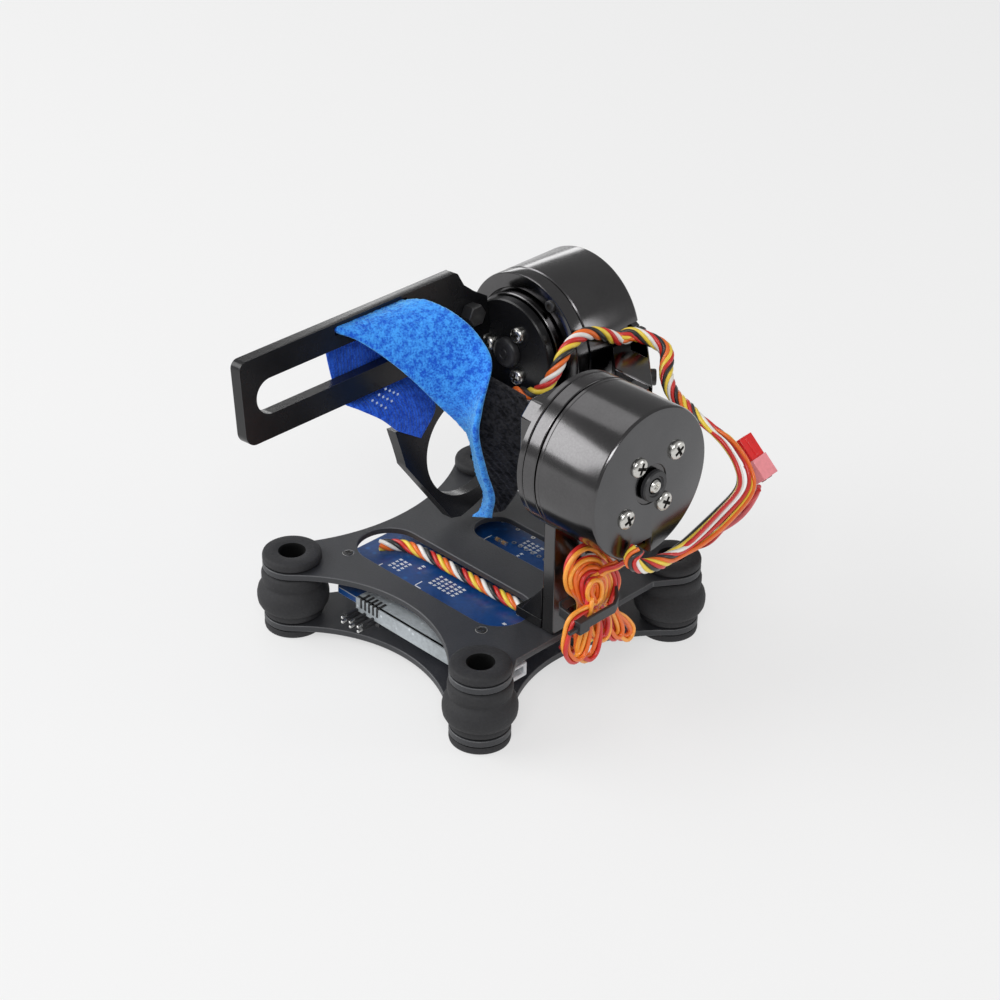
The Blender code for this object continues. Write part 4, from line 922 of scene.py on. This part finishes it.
def bracket():
    lo, hi = 28.4, 31.65
    half = 10.0
    start = math.degrees(math.asin(half / MOTOR_R))
    outline = arc(0.0, AXIS_Z, MOTOR_R, start - 90.0, 270.0 - start, 110)
    outline += [(-half, 15.4), (half, 15.4)]
    bm = bmesh.new()
    prism(bm, outline, ACROSS_X, lo, hi, [circle(0.0, AXIS_Z, 15.5, 96)])
    piece("bracket_plate", bm, [GLOSS, EDGE_HIGHLIGHT], "base", ["roll_bracket"], bevel=0.22, edge=False)
    bm = bmesh.new()
    prism(bm, [(15.4, 20.5), (17.7, 20.5), (17.7, 28.1), (15.4, 28.1)], ACROSS_Y, -half, half,
          [])
    foot = piece("bracket_base", bm, [TRAY, EDGE_HIGHLIGHT], "base", ["bracket_foot"], bevel=0.2)
    for k, y in enumerate((-1.4, 8.0, -10.0)):
        bm = bmesh.new()
        prism(bm, [(17.75, 22.0), (25.7, 28.1), (17.75, 28.1)], ACROSS_Y, y, y + 2.0)
        rib = piece("bracket_rib_%d" % (k + 1), bm, [TRAY, EDGE_HIGHLIGHT], "base", bevel=0.2)
    for i, y in enumerate((-5.5, 5.5)):
        where = frame_of((23.8, y, 17.72), X, Y, Z)
        cross_head("bracket_bolt_%d" % (i + 1), where, 2.0, 1.3, "base", ["bracket_screw_%d" % (i + 1)], turn=0.3 + i, shank=1.0)


def arm():
    lo, hi = 18.8, 23.2
    z0, z1 = 48.0, 58.4
    outline = [
        (-8.0, 50.2), (-5.0, 46.8), (9.0, 46.8), (14.5, z0), (27.6, z0), (27.6, z1), (14.5, z1),
        (11.0, 62.6), (7.0, 66.2), (-5.0, 66.2), (-8.0, 63.0),
    ]
    bm = bmesh.new()
    prism(bm, outline, ACROSS_X, lo, hi)
    piece("cross_plate_body", bm, [GLOSS, EDGE_HIGHLIGHT], "arm", ["arm_cross_plate"], bevel=0.35, edge=False)
    for k in range(4):
        a = math.radians(45.0 + 90.0 * k)
        spot = (lo - 0.02, 5.0 * math.cos(a), AXIS_Z + 5.0 * math.sin(a))
        cross_head("cross_plate_screw_%d" % (k + 1), frame_of(spot, Z, Y, -X), 1.9, 0.9, "arm", turn=0.2 + k)
    bm = bmesh.new()
    outline = [(12.6, 27.9), (23.7, 27.9), (4.0, 47.6), (2.4, 47.6), (2.4, 45.3), (5.1, 45.3), (5.1, 35.2)]
    prism(bm, outline, FLAT, z0, z1)
    piece("corner_block_body", bm, [GLOSS, EDGE_HIGHLIGHT], "arm", ["arm_corner_block"], bevel=0.35, edge=False)
    slant = Vector((1, 1, 0)).normalized()
    side = Vector((1, -1, 0)).normalized()
    where = frame_of(Vector((13.8, 37.8, 53.2)) + slant * 0.02, Z, side, slant)
    socket_head("corner_bolt", where, 1.9, 1.7, "arm", ["corner_screw"])
    lo, hi = 45.3, 47.6
    bm = bmesh.new()
    outline = arc(AXIS_Z, PITCH_X, 12.0, 72.0, -222.0, 72)
    outline = [(z1, 2.1)] + outline + [(z0, 2.1)]
    prism(bm, outline, ACROSS_Y, lo, hi, [circle(AXIS_Z, PITCH_X, 3.0, 32)])
    piece("side_plate_body", bm, [GLOSS, EDGE_HIGHLIGHT], "arm", ["arm_side_plate"], bevel=0.3, edge=False)
    for k, (u, v) in enumerate(cross_pattern()):
        where = frame_of((PITCH_X + v, hi + 0.02, AXIS_Z + u), Z, X, Y)
        cross_head("side_plate_screw_%d" % (k + 1), where, 2.0, 0.9, "arm", turn=0.6 * k)


# ---------------------------------------------------------------- tray

def tray():
    lo, hi = -8.6, -5.7
    ring = 15.6
    points = arc(-48.2, 4.0, 2.7, 180.0, 270.0, 12)
    points += [(1.0, 1.3), (2.2, 0.3), (2.2, -4.6)]
    points += arc(10.5, -21.4, ring, 118.0, 140.0, 10)
    points += [(-10.3, -10.4), (-9.0, -15.2), (-8.1, -19.0), (-8.0, -19.8), (4.6, -37.9)]
    points += arc(0.0, 0.0, 39.4, -79.0, -66.0, 8)
    points += [(20.6, -32.8), (24.2, -28.2), (25.9, -22.6)]
    points += [(25.9, -16.6), (24.2, -16.6), (24.2, -12.4), (19.7, -12.4), (19.7, -3.0)]
    points += [(17.9, -3.0), (17.9, 3.0), (19.7, 3.0), (19.7, 12.0)]
    points += [(15.7, 14.5), (12.9, 16.8), (11.2, 20.0), (10.4, 20.5)]
    points += arc(-49.0, 18.6, 1.9, 90.0, 180.0, 8)
    slot = obround(-43.2, 2.0, 10.8, 4.0, 28)
    strap_slot = [(-24.9, 17.7), (-4.1, 17.7), (-4.1, 19.7), (-24.9, 19.7)]
    lens = circle(10.5, -21.4, 12.1, 96)
    bm = bmesh.new()
    prism(bm, points, TRAY_FRAME, lo, hi, [slot, strap_slot, lens])
    # the bevel faces take the painted highlight on the chamfers
    piece("tray_body", bm, [TRAY, EDGE_HIGHLIGHT], "tray", ["tray_plate"], bevel=0.22, edge=True)
    bm = bmesh.new()
    where = frame_of(tray_point(0.0, 13.8, 9.9), TRAY_U, TRAY_V, TRAY_N)
    foot = hi + 0.02
    lathe(bm, [(0.0, foot), (2.5, foot), (2.6, foot + 0.15), (2.6, hi + 2.8), (2.4, hi + 3.0), (0.0, hi + 3.0)], where, 6)
    piece("tray_nut", bm, [STEEL_DARK], "tray", ["tray_post"], bevel=0.12)
    lo, hi = 20.0, 22.3
    bm = bmesh.new()
    lathe(bm, [(0.0, lo), (12.0, lo), (12.3, lo + 0.3), (12.3, hi - 0.2), (12.1, hi), (0.0, hi)], PITCH, 96)
    piece("flange_body", bm, [TRAY], "tray", ["tray_flange"], angle=28.0)
    for i, deg in enumerate((180.0, 60.0, -60.0)):
        a = math.radians(deg)
        spot = (PITCH_X + 6.0 * math.cos(a), lo - 0.02, AXIS_Z + 6.0 * math.sin(a))
        cross_head("flange_bolt_%d" % (i + 1), frame_of(spot, Z, X, -Y), 1.9, 1.3, "tray", ["flange_screw_%d" % (i + 1)],
                   turn=0.9 * i, shank=1.0)
    bm = bmesh.new()
    lathe(bm, [(0.0, 18.1), (1.0, 18.1), (1.15, 18.25), (1.3, 18.1), (2.5, 18.1), (3.2, 18.35), (3.5, 18.8), (3.5, 19.9), (0.0, 19.9)],
          PITCH, 56)
    piece("hub_cap_body", bm, [PLASTIC], "tray", ["hub_cap"], angle=40.0)
    bm = bmesh.new()
    box(bm, (-16.4, 16.4, 39.4), (-5.2, 17.8, 48.9))
    piece("sensor_panel", bm, [BLUE_BOARD], "tray", ["sensor_board"], bevel=0.08)
    bm = bmesh.new()
    box(bm, (-12.5, 15.3, 42.0), (-8.5, 16.4, 46.0), 0)
    box(bm, (-6.9, 15.2, 41.0), (-5.4, 16.4, 47.6), 1)
    for k in range(5):
        box(bm, (-8.5, 16.0, 42.2 + 0.8 * k), (-8.1, 16.39, 42.6 + 0.8 * k), 2)
        box(bm, (-12.9, 16.0, 42.2 + 0.8 * k), (-12.5, 16.39, 42.6 + 0.8 * k), 2)
    for k in range(3):
        box(bm, (-15.6 + 1.6 * k, 15.9, 40.2), (-14.8 + 1.6 * k, 16.39, 41.4), 3)
    piece("sensor_chips", bm, [CHIP, NYLON, SILVER, CERAMIC], "tray", bevel=0.05)


# ---------------------------------------------------------------- straps

def spline_points(points, steps):
    pts = [Vector(p) for p in points]
    pts = [pts[0] * 2 - pts[1]] + pts + [pts[-1] * 2 - pts[-2]]
    spans = len(pts) - 3
    out = []
    for i in range(steps + 1):
        s = spans * i / steps
        k = min(int(s), spans - 1)
        t = s - k
        p0, p1, p2, p3 = pts[k:k + 4]
        out.append(0.5 * (
            2 * p1 + (p2 - p0) * t + (2 * p0 - 5 * p1 + 4 * p2 - p3) * t * t
            + (3 * p1 - p0 - 3 * p2 + p3) * t * t * t
        ))
    return out


def ribbon(bm, lefts, rights, thickness, steps, across, first=0, last=None, fuzz=0.0, index=0, lift=0.0):
    """A strap between two edge routes, as a closed sheet with rounded edges and an uneven nap."""
    left = spline_points(lefts, steps)
    right = spline_points(rights, steps)
    last = steps if last is None else last
    rows = []
    for i in range(first, last + 1):
        a = max(i - 1, 0)
        b = min(i + 1, steps)
        along = (left[b] + right[b]) - (left[a] + right[a])
        normal = along.cross(right[i] - left[i]).normalized()
        top, low = [], []
        for j in range(across + 1):
            t = j / across
            p = left[i].lerp(right[i], t)
            edge = min(t, 1.0 - t) * (right[i] - left[i]).length
            thick = thickness * 0.5 * min(1.0, math.sqrt(max(0.0, edge) / 0.6) * 0.75 + 0.25)
            rough = fuzz * noise.noise(p * 2.4) + 0.6 * fuzz * noise.noise(p * 5.3)
            top.append(bm.verts.new(p + normal * (thick + rough + lift)))
            low.append(bm.verts.new(p - normal * (thick - lift)))
        rows.append((top, low))
    faces = []
    for (t0, l0), (t1, l1) in zip(rows, rows[1:]):
        for j in range(across):
            faces.append(bm.faces.new((t0[j], t0[j + 1], t1[j + 1], t1[j])))
            faces.append(bm.faces.new((l0[j], l1[j], l1[j + 1], l0[j + 1])))
        faces.append(bm.faces.new((t0[0], t1[0], l1[0], l0[0])))
        faces.append(bm.faces.new((t0[-1], l0[-1], l1[-1], t1[-1])))
    for top, low in (rows[0], rows[-1]):
        for j in range(across):
            faces.append(bm.faces.new((top[j], low[j], low[j + 1], top[j + 1])))
    for f in faces:
        f.material_index = index
    width = sum((a - b).length for a, b in zip(left[first:last + 1], right[first:last + 1])) / (last - first + 1)
    mids = [(a + b) / 2 for a, b in zip(left[first:last + 1], right[first:last + 1])]
    length = sum((b - a).length for a, b in zip(mids, mids[1:]))
    return width, length


def straps():
    front, back, mid = -5.7 + 1.2, -8.6 - 1.5, 18.7
    tp = tray_point
    lefts = [
        tp(front, -10.9, -9.4), tp(front, -15.2, -5.0), tp(-6.4, -19.0, -2.0), tp(-9.8, -21.8, 0.4),
        tp(back, -23.2, 6.0), tp(back, -24.2, 12.5), tp(back, -24.5, 17.0), tp(-8.7, -24.5, mid), tp(-5.6, -24.5, mid),
        (-16.4, -21.9, 72.8), (-12.0, -18.4, 69.2), (-7.5, -14.6, 64.2), (-4.2, -9.8, 57.4), (-2.6, -3.4, 49.8),
        (-2.6, -0.8, 45.6), (-2.6, 1.2, 36.8), (-3.0, 4.0, 30.1), (-4.0, 4.1, 25.2), (-6.0, 3.4, 22.6),
    ]
    rights = [
        tp(front, -4.0, -13.8), tp(front, 0.8, -8.4), tp(-6.4, 0.6, -3.4), tp(-9.8, 0.4, 0.0),
        tp(back, -1.4, 6.0), tp(back, -3.2, 12.5), tp(back, -4.5, 17.0), tp(-8.7, -4.5, mid), tp(-5.6, -4.5, mid),
        (-14.2, -3.0, 75.9), (-7.5, -1.4, 74.8), (-2.0, 0.1, 71.3), (4.0, -1.6, 67.2), (6.4, -7.3, 59.7),
        (6.6, -8.7, 53.6), (5.6, -5.2, 43.0), (5.0, -2.1, 35.1), (3.0, -0.6, 29.8), (2.2, 0.2, 27.4),
    ]
    bm = bmesh.new()
    width, length = ribbon(bm, lefts, rights, 1.5, 360, 48, first=158, fuzz=0.2)
    obj = piece("strap_nap", bm, [LOOP], "tray", ["strap_loop"], angle=80.0)
    bm = bmesh.new()
    width, length = ribbon(bm, lefts, rights, 1.1, 360, 24, last=161, fuzz=0.03)
    obj = piece("strap_webbing", bm, [WEBBING], "tray", ["strap_loop"], angle=80.0)
    bm = bmesh.new()
    for a in range(4):
        for b in range(3):
            u = (a + 0.5) / 4.0
            v = (b + 0.5) / 3.0
            low = Vector((-19.23, 0.83)).lerp(Vector((-14.43, -3.48)), u)
            high = Vector((-13.23, 2.62)).lerp(Vector((-8.86, -0.5)), u)
            y, w = low.lerp(high, v)
            corners = [tp(-3.85, y + dy, w + dw) for dy, dw in ((-0.3, -0.25), (0.3, -0.25), (0.3, 0.25), (-0.3, 0.25))]
            bm.faces.new([bm.verts.new(c) for c in corners])
    piece("strap_dots", bm, [DOTS], "tray", smooth=False)
    lefts = [(-0.6, 0.8, 61.9), (-1.4, 0.0, 55.4), (-3.2, -0.6, 47.5), (-4.4, 3.1, 38.1), (-5.4, 5.7, 29.0), (-6.6, 8.3, 21.3)]
    rights = [(8.5, 4.4, 58.5), (8.8, 5.6, 54.0), (6.4, 7.0, 44.4), (4.4, 8.0, 36.1), (2.2, 8.2, 30.0), (-0.2, 7.0, 25.3)]
    bm = bmesh.new()
    width, length = ribbon(bm, lefts, rights, 1.4, 110, 28, fuzz=0.1)
    obj = piece("strap_hooks", bm, [HOOK], "tray", ["strap_hook"], angle=80.0)


# ---------------------------------------------------------------- pieces kept from the frame

def dress_nodes():
    looks = {
        "stator_iron": IRON, "copper_wire": COPPER, "magnet_nickel": NICKEL, "bright_steel": STEEL,
        "gold_pins": GOLD, "white_nylon": NYLON, "chip_black": CHIP, "blue_board": BLUE_BOARD,
        "black_anodised": GLOSS, "black_plastic": PLASTIC, "black_steel": STEEL_DARK,
    }
    by_node = {row["node"]: row["material_slot"] for row in frame["record"]["subparts"]}
    for name, look_name in by_node.items():
        obj = bpy.data.objects.get(name)
        if obj is None or look_name not in looks:
            continue
        for slot in obj.material_slots:
            slot.material = looks[look_name]


plates()
dampers()
controller()
roll_motor()
pitch_motor()
bracket()
arm()
tray()
straps()
dress_nodes()
